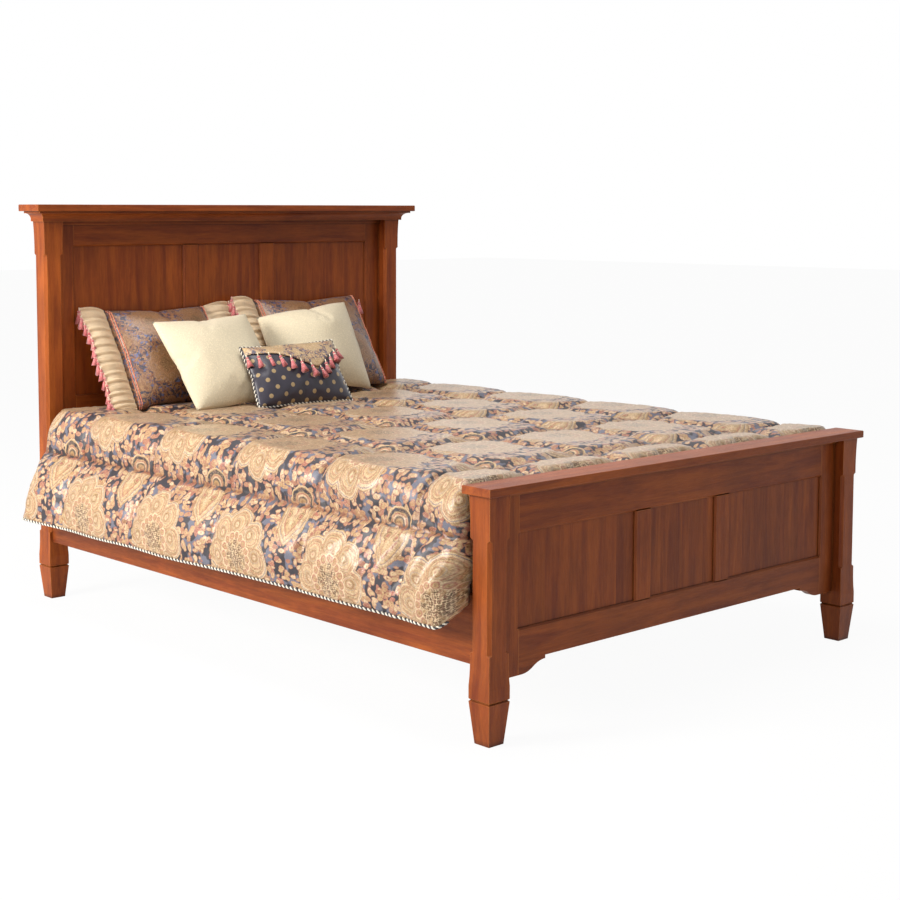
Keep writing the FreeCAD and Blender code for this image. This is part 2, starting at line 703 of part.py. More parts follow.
def make_hook_plates():
    """Hooked plates let into the ends of both side rails."""
    label = "rail_hook_plates"
    body = new_body(label)
    plate = add(body, "XZ_Plane", "rail_end - plate_thick", "rail_end", (plate_face(),))
    gap = "rail_end + plate_thick + slot_room"
    hooks = []
    for low in hook_heights():
        hooks.append(([("rail_end - plate_thick / 2", low), (gap, low),
                       (gap, f"{low} - hook_drop"),
                       ("rail_end + hook_reach", f"{low} - hook_drop + slot_room"),
                       ("rail_end + hook_reach", f"{low} + hook_neck"),
                       ("rail_end - plate_thick / 2", f"{low} + hook_neck")],))
    hook = add(body, "YZ_Plane", "rail_middle - hook_thick / 2",
               "rail_middle + hook_thick / 2", *hooks)
    both_ways(body, [plate, hook], "YZ_Plane", "XZ_Plane")
    return fitted(label, body, plate_screws)


def make_slot_plates():
    """Slotted plates let into the posts, on which the hooks hang."""
    label = "post_slot_plates"
    body = new_body(label)
    outlines = [(plate_face(),)]
    for low in hook_heights():
        outlines.append((box_corners("rail_middle - hook_thick / 2 - slot_room / 2",
                                     "rail_middle + hook_thick / 2 + slot_room / 2", low,
                                     f"{low} + hook_neck + hook_drop + slot_room"),))
    plate = add(body, "XZ_Plane", "rail_end", "rail_end + plate_thick", *outlines)
    both_ways(body, [plate], "YZ_Plane", "XZ_Plane")
    return fitted(label, body, plate_screws)


def make_plate_screws():
    """Screws of the hooked and the slotted plates."""
    body = new_body("plate_screws")
    originals = []
    for way in (-1, 1):
        for end in (-1, 1):
            at = ("rail_middle", "rail_end", f"rail_centre + {end} * plate_screw_spread / 2")
            originals.append(turned(body, "YZ_Plane", at,
                                    screw_outline("plate_screw_length", way)))
    both_ways(body, originals, "YZ_Plane", "XZ_Plane")
    return keep(body, "plate_screws")


def make_ledger_screws():
    body = new_body("ledger_screws")
    at = ("ledger_inner", "-ledger_run / 2", "(ledger_low + ledger_top) / 2")
    first = turned(body, "XZ_Plane", at, screw_outline("screw_length", 1))
    row_along(body, [first], "ledger_run", "ledger_screws", mirrored=True)
    return keep(body, "ledger_screws")


def make_slat_screws():
    """Each slat is screwed to both ledgers and to the centre beam."""
    body = new_body("slat_screws")
    places = (("(ledger_inner + rail_inner) / 2", True), ("0", False))
    for across, mirrored in places:
        at = (across, "-slat_run / 2", "slat_top")
        first = turned(body, "XZ_Plane", at, standing_screw_outline("slat_screw_length"),
                       "V_Axis")
        row_along(body, [first], "slat_run", SLATS, mirrored)
    return keep(body, "slat_screws")


def make_frame_dowels():
    """Dowels between the stiles and the posts, at both ends of the bed."""
    body = new_body("frame_dowels")
    across = "post_inner + flare_in"
    originals = []
    rows = (("head_frame", ("head_frame_low", "head_panel_low", "head_panel_high")),
            ("foot_frame", ("foot_panel_low", "foot_panel_high")))
    for frame, heights in rows:
        for height in heights:
            at = (across, f"{frame} + frame_thick / 2", f"{height} + stile_width / 2")
            originals.append(turned(body, "XZ_Plane", at,
                                    dowel_outline("dowel", "dowel_length")))
    both_ways(body, originals, "YZ_Plane")
    return keep(body, "frame_dowels")


def make_cap_dowels():
    """A dowel from each post into the cap above it."""
    body = new_body("cap_dowels")
    originals = []
    for end in ("head", "foot"):
        cap = f"{end}board_height"
        at = ("post_middle", f"{end}_middle", f"{cap} - cap_dowel_cover - cap_dowel_length / 2")
        outline = [(up, across) for across, up in dowel_outline("cap_dowel",
                                                                "cap_dowel_length")]
        originals.append(turned(body, "XZ_Plane", at, outline, "V_Axis"))
    both_ways(body, originals, "YZ_Plane")
    return keep(body, "cap_dowels")


# ------------------------------------------------------------- rails and slats

def make_side_rail(side):
    label = f"side_rail_{SIDE_NAMES[side]}"
    body = board(label, mirrored_span(side, "rail_inner", "rail_outer"),
                 ("-rail_end", "rail_end"), ("rail_low", "rail_high"))
    length = 2 * amount("rail_end")
    ease(body, "rail_ease", lambda a, b: abs(abs(a.y - b.y) - length) < 0.01)
    for span in (("rail_end - plate_thick", "rail_end"),
                 ("-rail_end", "-rail_end + plate_thick")):
        cut(body, "XZ_Plane", *span, (plate_face(side),))
    return fitted(label, body, plate_screws, ledger_screws, posts["head", side],
                  posts["foot", side])


def make_ledger(side):
    label = f"ledger_{SIDE_NAMES[side]}"
    body = board(label, mirrored_span(side, "ledger_inner", "rail_inner"),
                 ("-ledger_half", "ledger_half"), ("ledger_low", "ledger_top"))
    return fitted(label, body, ledger_screws, slat_screws)


def make_slats():
    for number in range(SLATS):
        middle = f"(-slat_run / 2 + {number} * slat_run / {SLATS - 1})"
        label = f"slat_{number + 1}"
        body = board(label, ("-slat_half", "slat_half"),
                     (f"{middle} - slat_width / 2", f"{middle} + slat_width / 2"),
                     ("ledger_top", "slat_top"))
        fitted(label, body, slat_screws)


def make_beam_and_legs():
    """A beam under the slats on three legs, each pegged into it, with levellers."""
    places = [f"({way} * slat_run / {SLATS - 1})" for way in (-1, 0, 1)]
    levellers = new_body("leg_levellers")
    discs = []
    legs = []
    for number, along in enumerate(places, start=1):
        at = ("0", along, "0")
        outline = [("0", "0"), ("leveller_disc / 2", "0"),
                   ("leveller_disc / 2 - leveller_rise / 4", "leveller_rise"),
                   ("leveller_stud / 2", "leveller_rise"),
                   ("leveller_stud / 2", "leveller_rise + leveller_stud_length"),
                   ("0", "leveller_rise + leveller_stud_length")]
        discs.append(turned(levellers, "XZ_Plane", at, outline, "V_Axis"))
        leg = board(f"centre_leg_{number}", ("-leg_size / 2", "leg_size / 2"),
                    (f"{along} - leg_size / 2", f"{along} + leg_size / 2"),
                    ("leveller_rise", "beam_low"))
        peg = [("0", "beam_low - leg_peg_length / 2"),
               ("leg_peg / 2", "beam_low - leg_peg_length / 2"),
               ("leg_peg / 2", "beam_low + leg_peg_length"),
               ("0", "beam_low + leg_peg_length")]
        turned(leg, "XZ_Plane", at, peg, "V_Axis")
        legs.append(leg)
    keep(levellers, "leg_levellers")
    fitted_legs = [fitted(f"centre_leg_{number}", leg, levellers)
                   for number, leg in enumerate(legs, start=1)]
    beam = board("centre_beam", ("-beam_width / 2", "beam_width / 2"),
                 ("-beam_half", "beam_half"), ("beam_low", "ledger_top"))
    fitted("centre_beam", beam, slat_screws, *fitted_legs)


# -------------------------------------------------------------------- bedding

def make_mattress(label, low, high, edge):
    """A block with rounded upright corners and softened edges."""
    body = board(label, ("-mattress_half", "mattress_half"),
                 ("mattress_foot", "mattress_head"), (low, high))
    heights = [amount(low), amount(high)]
    ease(body, "mattress_corner", lambda a, b: abs(a.z - b.z) > 1)
    level = [n for n, line in enumerate(body.Shape.Edges, start=1)
             if all(abs(v.Z - line.Vertexes[0].Z) < 0.01 for v in line.Vertexes)
             and any(abs(line.Vertexes[0].Z - up) < 0.01 for up in heights)]
    fillet = body.newObject("PartDesign::Fillet", f"{label}_border")
    fillet.Base = (fillet.BaseFeature, [f"Edge{n}" for n in level])
    fillet.setExpression("Radius", bound(edge))
    doc.recompute()
    return keep(body, label)


def wire_through(points, bulges):
    """A closed wire of lines and shallow arcs; bulges gives an arc's rise to its left."""
    edges = []
    for i, start in enumerate(points):
        end = points[(i + 1) % len(points)]
        rise = bulges.get(i, 0)
        if rise:
            chord = end - start
            left = V(-chord.z, 0, chord.x).normalize()
            edges.append(Part.Arc(start, (start + end) / 2 + left * rise, end).toShape())
        else:
            edges.append(Part.LineSegment(start, end).toShape())
    return Part.Wire(edges)


def comforter_section(along, drop, flare, swell):
    """The comforter across the bed: flat top, rolled shoulders, two rolls down each side.

    drop lowers the top, flare (0 to 1) spreads the hem from foot to head and swell is how
    far the rolls stand out between the sewn seams.
    """
    thick = amount("comforter_thick")
    top = amount("comforter_top") - drop
    inner = amount("mattress_half") + amount("comforter_rest")
    rest = amount("mattress_top") + amount("comforter_rest") - drop
    past_rail = amount("rail_outer") + amount("comforter_rest")
    reach = amount("hem_reach_foot")
    reach += (amount("hem_reach_head") - reach) * flare
    hem = amount("outer_half") + reach
    seam_up = amount("comforter_seam") + thick * (0.5 - flare)
    seam = inner + 1.3 * thick + 0.35 * reach
    shoulder = inner - 2.6 * thick
    outside = [V(shoulder, along, top),
               V(inner + thick + 0.1 * reach, along, top - 2.6 * thick),
               V(seam, along, seam_up),
               V(hem, along, amount("comforter_hem"))]
    inside = [V(hem - 0.8 * thick, along, amount("comforter_hem") + 0.2 * thick),
              V(past_rail, along, amount("rail_high") + 0.3 * thick),
              V(inner, along, amount("rail_high") + 2.4 * thick),
              V(inner, along, rest)]
    bulges = {0: 0.8 * thick, 1: swell, 2: swell}
    right = outside + inside
    left = [V(-p.x, p.y, p.z) for p in reversed(right)]
    count = len(right)
    last = 2 * count - 2
    bulges.update({last - i: rise for i, rise in list(bulges.items())})
    return wire_through(right + left, bulges)


def make_comforter():
    """A quilted cover lofted along the bed, drawn in at each cross seam."""
    thick = amount("comforter_thick")
    foot = amount("foot_back + comforter_foot")
    past_cap = amount("foot_back + cap_lip + comforter_foot")
    head = amount("head_face - comforter_head")
    start = amount("mattress_foot - comforter_rest")
    swell, pinch = amount("comforter_puff"), amount("comforter_pinch")
    end = swell - pinch
    fall = amount("comforter_fall")

    def spread(along):
        return ((along - foot) / (head - foot)) ** 1.5

    pitch, seam = amount("quilt_pitch"), amount("quilt_seam")
    seam -= pitch * int((seam - start) / pitch)
    sections = [(foot, fall + thick / 4, 0, end), (past_cap, fall, 0, swell),
                (start, 0, spread(start), swell)]
    while seam < head:
        sections.append((seam, 0, spread(seam), end))
        if seam + pitch / 2 < head - pitch / 4:
            middle = seam + pitch / 2
            sections.append((middle, 0, spread(middle), swell))
        seam += pitch
    sections.append((head, 0, 1, end))
    piece = doc.addObject("Part::Feature", "comforter")
    piece.Shape = Part.makeLoft([comforter_section(*s) for s in sections], True, True)
    return keep(piece, "comforter")


def lens(along, tall, front, rear, low, curl):
    """A pillow's section: arcs to the front and the rear between its two seams."""
    ends = V(along, curl, low), V(along, curl, low + tall)
    middle = V(along, 0, low + tall / 2)
    arcs = [Part.Arc(ends[0], middle + V(0, -front, 0), ends[1]),
            Part.Arc(ends[1], middle + V(0, rear, 0), ends[0])]
    return Part.Wire([arc.toShape() for arc in arcs])


SEAM_DRAW = 0.03    # how far a pillow's long seams draw in, of its height
LEAN_TRIES = 30

# how far along half the width, thickness as a share, how far the seams draw in
PLUMP = ((1.0, 0.08, 0), (0.88, 0.45, 0.6), (0.6, 0.84, 0.9), (0.25, 0.98, 1),
         (0.0, 1.0, 1))
FLOUNCED = ((1.0, 0.07, 0), (0.8, 0.14, 0.3), (0.7, 0.3, 0.5), (0.55, 0.72, 0.8),
            (0.28, 0.96, 1), (0.0, 1.0, 1))


def make_pillow(label, kind, stations, at, lean, turn, droop="0", curl="0",
                slump="0", rear=None):
    """A crowned pillow at its place across the bed, leaning back towards the head.

    Its left top corner droops, and its corners curl back round what it leans on.
    """
    width, thick = amount(f"{kind}_width"), amount(f"{kind}_thick")
    tall = amount(f"{kind}_tall - {slump}")
    behind = amount(rear or f"{kind}_thick / 2")
    draw_in = SEAM_DRAW * tall
    marks = [(-share, *rest) for share, *rest in stations[:-1]]
    marks += list(reversed(stations))
    sections = [lens(share * width / 2,
                     tall - 2 * draw_in * drawn - amount(droop) * (1 - share) / 2,
                     (thick - behind) * swell, behind * swell, draw_in * drawn,
                     amount(curl) * (1 + 2 * share ** 2) / 3)
                for share, swell, drawn in marks]
    piece = doc.addObject("Part::Feature", label)
    piece.Shape = Part.makeLoft(sections, True, False)
    leaning = FreeCAD.Rotation(V(1, 0, 0), -amount(lean))
    turning = FreeCAD.Rotation(V(0, 0, 1), amount(turn))
    piece.Placement = FreeCAD.Placement(V(amount(at), 0, 0), turning.multiply(leaning))
    lowest = piece.Shape.optimalBoundingBox(False, False).ZMin
    rest = amount("comforter_top") + amount("pillow_rest")
    piece.Placement.Base = piece.Placement.Base + V(0, 0, rest - lowest)
    return keep(piece, label)


def move_along(piece, step):
    """Shift a pillow along the bed."""
    placement = piece.Placement
    placement.Base = placement.Base + V(0, step, 0)
    piece.Placement = placement


def lean_on(piece, carriers, start):
    """Slide a pillow towards the head until it is the gap away from what it leans on."""
    gap = amount("pillow_gap")
    move_along(piece, start - piece.Placement.Base.y)
    for attempt in range(LEAN_TRIES):
        room = min(piece.Shape.distToShape(c.Shape)[0] for c in carriers) - gap
        move_along(piece, room)
        if room < gap / 10:
            return
    raise RuntimeError(f"{piece.Label} never meets what it leans on")


def make_pillows():
    """Two shams against the headboard, two cream pillows on them, a small one in front."""
    shams = [make_pillow(f"sham_{name}", "sham", FLOUNCED, f"sham_{name}_at", "sham_lean",
                         "sham_turn") for name in ("left", "right")]
    for sham in shams:
        rear = sham.Shape.optimalBoundingBox(False, False).YMax
        move_along(sham, amount("head_frame") - amount("pillow_gap") - rear)
    start = shams[0].Placement.Base.y - amount("cream_tall")
    right, left = (make_pillow(f"cream_pillow_{name}", "cream", PLUMP, f"cream_{name}_at",
                               f"cream_{name}_lean", f"cream_{name}_turn",
                               f"cream_{name}_droop", f"cream_{name}_curl",
                               f"cream_{name}_slump", rear)
                   for name, rear in (("right", "cream_right_rear"), ("left", None)))
    lean_on(right, shams, start)
    lean_on(left, shams + [right], start)
    accent = make_pillow("accent_pillow", "accent", PLUMP, "accent_at", "accent_lean",
                         "accent_turn", "accent_droop")
    lean_on(accent, [left, right], start - amount("accent_tall"))


# ------------------------------------------------------------------- the bed

SLATS = 5

frame_dowels = make_frame_dowels()
cap_dowels = make_cap_dowels()
plate_screws = make_plate_screws()
ledger_screws = make_ledger_screws()
slat_screws = make_slat_screws()
make_hook_plates()
make_slot_plates()

posts = {}
for end in ("head", "foot"):
    for side in (LEFT, RIGHT):
        posts[end, side] = make_post(end, side, (plate_screws, frame_dowels, cap_dowels))

for side in (LEFT, RIGHT):
    make_stile("headboard", side, "head_frame", "head_frame_low", "head_panel_low",
               "head_panel_high", "head_cap_low", (posts["head", side], frame_dowels))
    make_stile("footboard", side, "foot_frame", "foot_frame_low", "foot_panel_low",
               "foot_panel_high", "foot_cap_low", (posts["foot", side], frame_dowels))
    make_mullion("headboard", side, "head_frame", "head_panel_low", "head_panel_high")
    make_mullion("footboard", side, "foot_frame", "foot_panel_low", "foot_panel_high")
    make_side_rail(side)
    make_ledger(side)

make_rail("headboard_top_rail", "head_frame", "head_panel_high", "head_cap_low",
          "head_panel_high")
make_rail("headboard_bottom_rail", "head_frame", "head_frame_low", "head_panel_low",
          "head_panel_low")
make_rail("footboard_top_rail", "foot_frame", "foot_panel_high", "foot_cap_low",
          "foot_panel_high")
make_rail("footboard_bottom_rail", "foot_frame", "foot_frame_low", "foot_panel_low",
          "foot_panel_low", scroll_outline())
make_panels("headboard", "head_frame", "head_panel_low", "head_panel_high")
make_panels("footboard", "foot_frame", "foot_panel_low", "foot_panel_high")

between = ("-post_inner", "post_inner")
keep(board("headboard_crown_backer", between, ("head_face", "head_frame"),
           ("crown_low", "head_cap_low")), "headboard_crown_backer")
keep(board("headboard_strip", between, ("head_frame - strip_thick", "head_frame"),
           ("crown_low - strip_height", "crown_low")), "headboard_strip")
keep(board("footboard_strip", between, ("foot_frame - strip_thick", "foot_frame"),
           ("foot_cap_low - strip_height", "foot_cap_low")), "footboard_strip")
make_crown()
make_cap("headboard_cap", "outer_half + crown_reach + cap_lip",
         ("head_face - crown_reach - cap_lip", "head_back + cap_lip"),
         ("head_cap_low", "headboard_height"), cap_dowels)
make_cap("footboard_cap", "outer_half + cap_lip",
         ("foot_face - cap_lip", "foot_back + cap_lip"),
         ("foot_cap_low", "footboard_height"), cap_dowels)

make_slats()
make_beam_and_legs()
make_mattress("box_spring", "slat_top", "foundation_top", "foundation_edge")
make_mattress("mattress", "foundation_top", "mattress_top", "mattress_edge")
make_comforter()
make_pillows()
doc.recompute()


# ------------------------------------------------------------- check and write

for thing in doc.Objects:
    if "Invalid" in thing.State or "Error" in thing.State:
        raise RuntimeError(f"{thing.Label} did not build: {thing.State}")
labels = [piece.Label for piece in finished]
if len(set(labels)) != len(labels):
    raise RuntimeError("two sub-parts share a name")
os.makedirs("parts", exist_ok=True)
for piece in finished:
    if piece.Shape.isNull() or not piece.Shape.isValid():
        raise RuntimeError(f"{piece.Label} has no sound shape")
for piece in finished:
    piece.Shape.exportStep(f"parts/{piece.Label}.step")
print(len(finished), "sub-parts written")
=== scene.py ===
"""The looks of a queen panel bed: stained timber, steel fasteners, box spring and mattress,
a quilted damask comforter with a corded hem, and five dressed pillows.

Metres.  X runs across the bed, +Y points to the headboard, +Z is up.
"""
import json
import math
import random

import bmesh
import bpy
from bpy.props import FloatProperty, FloatVectorProperty, IntProperty, PointerProperty
from mathutils import Matrix, Vector, noise
from mathutils.bvhtree import BVHTree

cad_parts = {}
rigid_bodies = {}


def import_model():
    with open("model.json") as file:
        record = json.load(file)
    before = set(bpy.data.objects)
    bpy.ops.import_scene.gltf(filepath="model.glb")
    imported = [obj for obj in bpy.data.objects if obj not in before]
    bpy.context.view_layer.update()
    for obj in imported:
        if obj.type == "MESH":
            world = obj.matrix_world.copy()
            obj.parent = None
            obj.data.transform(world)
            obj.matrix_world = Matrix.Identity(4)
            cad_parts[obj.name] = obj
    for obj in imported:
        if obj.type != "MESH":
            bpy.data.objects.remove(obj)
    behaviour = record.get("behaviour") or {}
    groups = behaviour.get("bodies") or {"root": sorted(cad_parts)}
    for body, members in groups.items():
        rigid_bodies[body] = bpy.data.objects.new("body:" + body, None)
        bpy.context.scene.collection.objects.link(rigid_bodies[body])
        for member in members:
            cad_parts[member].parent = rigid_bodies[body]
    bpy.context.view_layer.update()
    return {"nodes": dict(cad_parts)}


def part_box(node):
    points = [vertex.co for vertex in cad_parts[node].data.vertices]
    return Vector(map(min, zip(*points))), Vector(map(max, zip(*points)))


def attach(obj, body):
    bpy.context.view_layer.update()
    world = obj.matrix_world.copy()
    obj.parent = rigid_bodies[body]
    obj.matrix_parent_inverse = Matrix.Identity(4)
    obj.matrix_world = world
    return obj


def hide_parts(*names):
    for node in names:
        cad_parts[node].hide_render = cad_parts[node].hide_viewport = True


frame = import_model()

bl_info = {
    "name": "Panel bed",
    "version": (1, 0, 0),
    "blender": (4, 5, 0),
    "location": "3D View > Sidebar > Panel bed",
    "description": "Finishes a panel bed's frame and dresses it with bedding and pillows",
    "category": "Object",
}

NODES = frame["nodes"]
BED = "bedstead"
SIDES = {"left": -1, "right": 1}


# ----------------------------------------------------------------------- settings

def linear(code):
    """A colour written as six hex digits, in Blender's linear numbers."""
    parts = [int(code[i:i + 2], 16) / 255 for i in (0, 2, 4)]
    return tuple(p / 12.92 if p <= 0.04045 else ((p + 0.055) / 1.055) ** 2.4 for p in parts)


def colour(name, note, code):
    return FloatVectorProperty(name=name, description=note, default=linear(code), size=3,
                               min=0, max=1, subtype="COLOR")


def length(name, note, metres):
    return FloatProperty(name=name, description=note, default=metres, unit="LENGTH")


def angle(name, note, degrees):
    return FloatProperty(name=name, description=note, default=math.radians(degrees),
                         subtype="ANGLE")


class BedStage(bpy.types.PropertyGroup):
    """Camera, lights and floor."""
    at: FloatVectorProperty(name="Camera place", description="Where the camera stands",
                            default=(-3.651909, -3.964865, 1.345823), subtype="TRANSLATION")
    dip: angle("Camera dip", "How far the camera looks below the horizon", 4.867)
    turn: angle("Camera turn", "How far the camera is turned from +Y to +X", 41.934)
    lens: FloatProperty(name="Lens", description="Focal length on a 36 mm sensor",
                        default=65.779, unit="CAMERA")
    shift: FloatVectorProperty(name="Shift", description="Lens shift across and up",
                               default=(0.05, -0.11), size=2)
    floor: colour("Floor", "Paint of the floor", "FBFAF8")
    sky: FloatProperty(name="Sky", description="Strength of the even light", default=0.33)
    key: FloatProperty(name="Key lamp", description="Power of the soft lamp at the left",
                       default=288, unit="POWER")
    top: FloatProperty(name="Top lamp", description="Power of the lamp over the bed",
                       default=110, unit="POWER")


class BedTimber(bpy.types.PropertyGroup):
    """Stain and lacquer of the frame, with painted shade for its corners and a painted
    highlight for its edges.
    """
    dark: colour("Dark grain", "Late wood under the stain", "743216")
    light: colour("Light grain", "Early wood under the stain", "A0521F")
    painted_corner_shade: colour("Painted corner shade", "Shade painted into the corners", "34160B")
    # The next two colours paint light into the frame: painted shade in its corners and
    # recesses, and a painted highlight along its edges.
    painted_edge_highlight: colour("Painted edge highlight", "Highlight painted along the edges", "C9803F")
    # painted highlight: a lighter colour laid along the convex edges, where light catches
    # them
    plain_dark: colour("Plain dark", "Late wood of the unstained parts", "B58A58")
    plain_light: colour("Plain light", "Early wood of the unstained parts", "D8B486")
    board: length("Panel board", "Width of the boards glued up into a panel", 0.094)
    gloss: FloatProperty(name="Roughness", description="Roughness of the lacquer",
                         default=0.4, subtype="FACTOR")


class BedComforter(bpy.types.PropertyGroup):
    """Shape and colours of the comforter."""
    pitch_along: length("Quilt pitch along", "Between the cross seams", 0.41)
    pitch_across: length("Quilt pitch across", "Between the seams along the bed", 0.36)
    seam_at: length("Cross seam", "Place of the cross seam nearest the middle", -0.048)
    column_shift: length("Column shift", "From a cross seam to the printed columns", 0.066)
    cells: IntProperty(name="Cells", description="Mesh cells across one quilted panel",
                       default=36)
    flat_half: length("Flat half", "Half width of the top before it rolls over", 0.725)
    shoulder: length("Shoulder", "Radius of the roll at the mattress edge", 0.09)
    puff_top: length("Puff on top", "Swell of the panels on top", 0.016)
    puff_side: length("Puff at the side", "Swell of the rolls down the side", 0.038)
    wall: length("Filling", "Thickness of the cover at a seam", 0.003)
    end_roll: length("End roll", "Radius of the cover's rolled foot end", 0.034)
    cord: length("Hem cord", "Diameter of the twisted cord at the hem", 0.009)
    ground: colour("Ground", "Dark ground of the damask", "2F2A30")
    slate: colour("Slate", "Blue grey thread of the damask", "62626F")
    gold: colour("Gold", "Gold thread of the damask", "85623A")
    straw: colour("Straw", "Straw thread of the damask", "B09063")
    pale: colour("Pale", "Palest thread of the damask", "D2B994")
    rose: colour("Rose", "Pink thread of the damask", "9A5A4C")


class BedPillows(bpy.types.PropertyGroup):
    """Colours and trimmings of the pillows."""
    cream: colour("Cream cover", "Cloth of the two square pillows", "E2D3B4")
    flounce: colour("Flounce", "Gathered cloth at the ends of a sham", "FFE9C6")
    night: colour("Night", "Satin of the small pillow", "2B2733")
    brick: colour("Brick", "Red thread of the braid and tassels", "B4484A")
    blush: colour("Blush", "Pink thread of the tassels", "C77C7C")
    ivory: colour("Ivory", "Pale thread of the braid and tassels", "EADCC0")
    tassel: length("Tassel", "Length of a tassel with its head", 0.052)
    braid: length("Braid", "Diameter of one cord of the braid", 0.0046)


# ----------------------------------------------------------------------- materials

class Paint:
    """A material and short ways to add and join its nodes."""

    def __init__(self, name):
        self.material = bpy.data.materials.new(name)
        self.material.use_nodes = True
        self.nodes = self.material.node_tree.nodes
        self.links = self.material.node_tree.links
        self.shader = self.nodes["Principled BSDF"]

    def feed(self, socket, value):
        if isinstance(value, bpy.types.NodeSocket):
            self.links.new(value, socket)
        elif socket.type == "RGBA" and len(value) == 3:
            socket.default_value = (*value, 1)
        else:
            socket.default_value = value

    def add(self, kind, inputs=None, **settings):
        node = self.nodes.new("ShaderNode" + kind)
        for name, value in settings.items():
            setattr(node, name, value)
        for key, value in (inputs or {}).items():
            self.feed(node.inputs[key], value)
        return node

    def calc(self, operation, a, b=0.0, c=0.0):
        return self.add("Math", {0: a, 1: b, 2: c}, operation=operation).outputs[0]

    def times(self, a, b):
        return self.calc("MULTIPLY", a, b)

    def plus(self, a, b):
        return self.calc("ADD", a, b)

    def minus(self, a, b):
        return self.calc("SUBTRACT", a, b)

    def over(self, a, b):
        return self.calc("DIVIDE", a, b)

    def coords(self, source="Object"):
        return self.add("TexCoord").outputs[source]

    def mapped(self, vector, scale=(1, 1, 1), shift=(0, 0, 0)):
        return self.add("Mapping", {"Vector": vector, "Scale": scale,
                                    "Location": shift}).outputs[0]

    def noise(self, vector, scale, detail=2.0, roughness=0.5, distortion=0.0):
        return self.add("TexNoise", {"Vector": vector, "Scale": scale, "Detail": detail,
                                     "Roughness": roughness,
                                     "Distortion": distortion}).outputs["Fac"]

    def cells(self, vector, scale, feature="F1", randomness=1.0):
        return self.add("TexVoronoi", {"Vector": vector, "Scale": scale,
                                       "Randomness": randomness}, feature=feature)

    def ramp(self, value, stops):
        """Colours at places from 0 to 1, with even blends between them."""
        node = self.add("ValToRGB", {0: value})
        band = node.color_ramp
        while len(band.elements) < len(stops):
            band.elements.new(1.0)
        for element, (place, shade) in zip(band.elements, stops):
            element.position = place
            element.color = (*shade, 1)
        return node.outputs[0]

    def span(self, value, low, high, bottom=0.0, top=1.0):
        """The value taken from one range to another, and held at its ends."""
        return self.add("MapRange", {"Value": value, "From Min": low, "From Max": high,
                                     "To Min": bottom, "To Max": top}).outputs[0]

    def blend(self, factor, a, b, kind="MIX"):
        return self.add("Mix", {0: factor, 6: a, 7: b}, data_type="RGBA",
                        blend_type=kind).outputs[2]

    def shade(self, colour, amount):
        """A colour made darker or lighter by a grey amount."""
        return self.add("VectorMath", {0: colour, 3: amount}, operation="SCALE").outputs[0]

    def split(self, vector):
        return self.add("SeparateXYZ", {0: vector}).outputs

    def join(self, x, y, z=0.0):
        return self.add("CombineXYZ", {0: x, 1: y, 2: z}).outputs[0]

    def rough(self, height, distance, strength=1.0):
        """A bump from a height between 0 and 1."""
        bump = self.add("Bump", {"Height": height, "Distance": distance,
                                 "Strength": strength})
        return bump.outputs[0]

    def finish(self, colour, roughness=0.5, normal=None, **sockets):
        self.feed(self.shader.inputs["Base Color"], colour)
        self.feed(self.shader.inputs["Roughness"], roughness)
        if normal is not None:
            self.feed(self.shader.inputs["Normal"], normal)
        for name, value in sockets.items():
            self.feed(self.shader.inputs[name.replace("_", " ")], value)
        return self.material


def fixed(values):
    return tuple(values)


LENGTHWISE = {"x": (1, 13, 13), "y": (13, 1, 13), "z": (13, 13, 1)}


def timber(name, axis, seed, dark, light, tone=1.0, board=0.0, gloss=0.4, coat=0.05):
    """Wood with its grain along an axis; board is the width of glued-up boards."""
    paint = Paint(name)
    place = paint.coords()
    lift = tone
    if board:
        across = paint.split(place)["X"]
        number = paint.calc("FLOOR", paint.over(across, board))
        pick = paint.add("TexWhiteNoise", {"W": paint.plus(number, seed + 0.5)},
                         noise_dimensions="1D").outputs["Value"]
        lift = paint.span(pick, 0, 1, 0.92 * tone, 1.08 * tone)
        jump = paint.join(paint.times(pick, 3.1), 0.0, paint.times(pick, 7.7))
        place = paint.add("VectorMath", {0: place, 1: jump}, operation="ADD").outputs[0]
    shift = (seed * 1.37, seed * 2.11, seed * 0.73)
    grain = paint.mapped(place, LENGTHWISE[axis], shift)
    figure = paint.noise(grain, 2.6, 4, 0.6, 0.5)
    streak = paint.noise(grain, 24, 4, 0.7, 0.2)
    pores = paint.noise(paint.mapped(grain, tuple(1 if s == 1 else 3.4 for s in
                                                  LENGTHWISE[axis])), 46, 2, 0.6)
    cloud = paint.noise(paint.mapped(place, (1, 1, 1), shift), 6.5, 3, 0.6)
    base = paint.ramp(figure, ((0.3, dark), (0.7, light)))
    grey = paint.times(paint.span(streak, 0.3, 0.7, 0.8, 1.13),
                       paint.span(cloud, 0.3, 0.7, 0.86, 1.12))
    grey = paint.times(grey, paint.span(pores, 0.34, 0.44, 0.8, 1.0))
    stain = paint.shade(base, paint.times(grey, lift))
    # painted shade in the corners and a painted highlight on the edges of the lacquered parts
    if coat:
        stain = paint_shade_and_edge_highlight(paint, stain, cloud)
    height = paint.plus(streak, paint.span(pores, 0.34, 0.44, -0.6, 0.0))
    return paint.finish(stain, paint.span(streak, 0.3, 0.7, gloss + 0.07, gloss - 0.04),
                        paint.rough(height, 0.0003, 0.5),
                        Specular_IOR_Level=0.15, Coat_Weight=coat, Coat_Roughness=0.2)


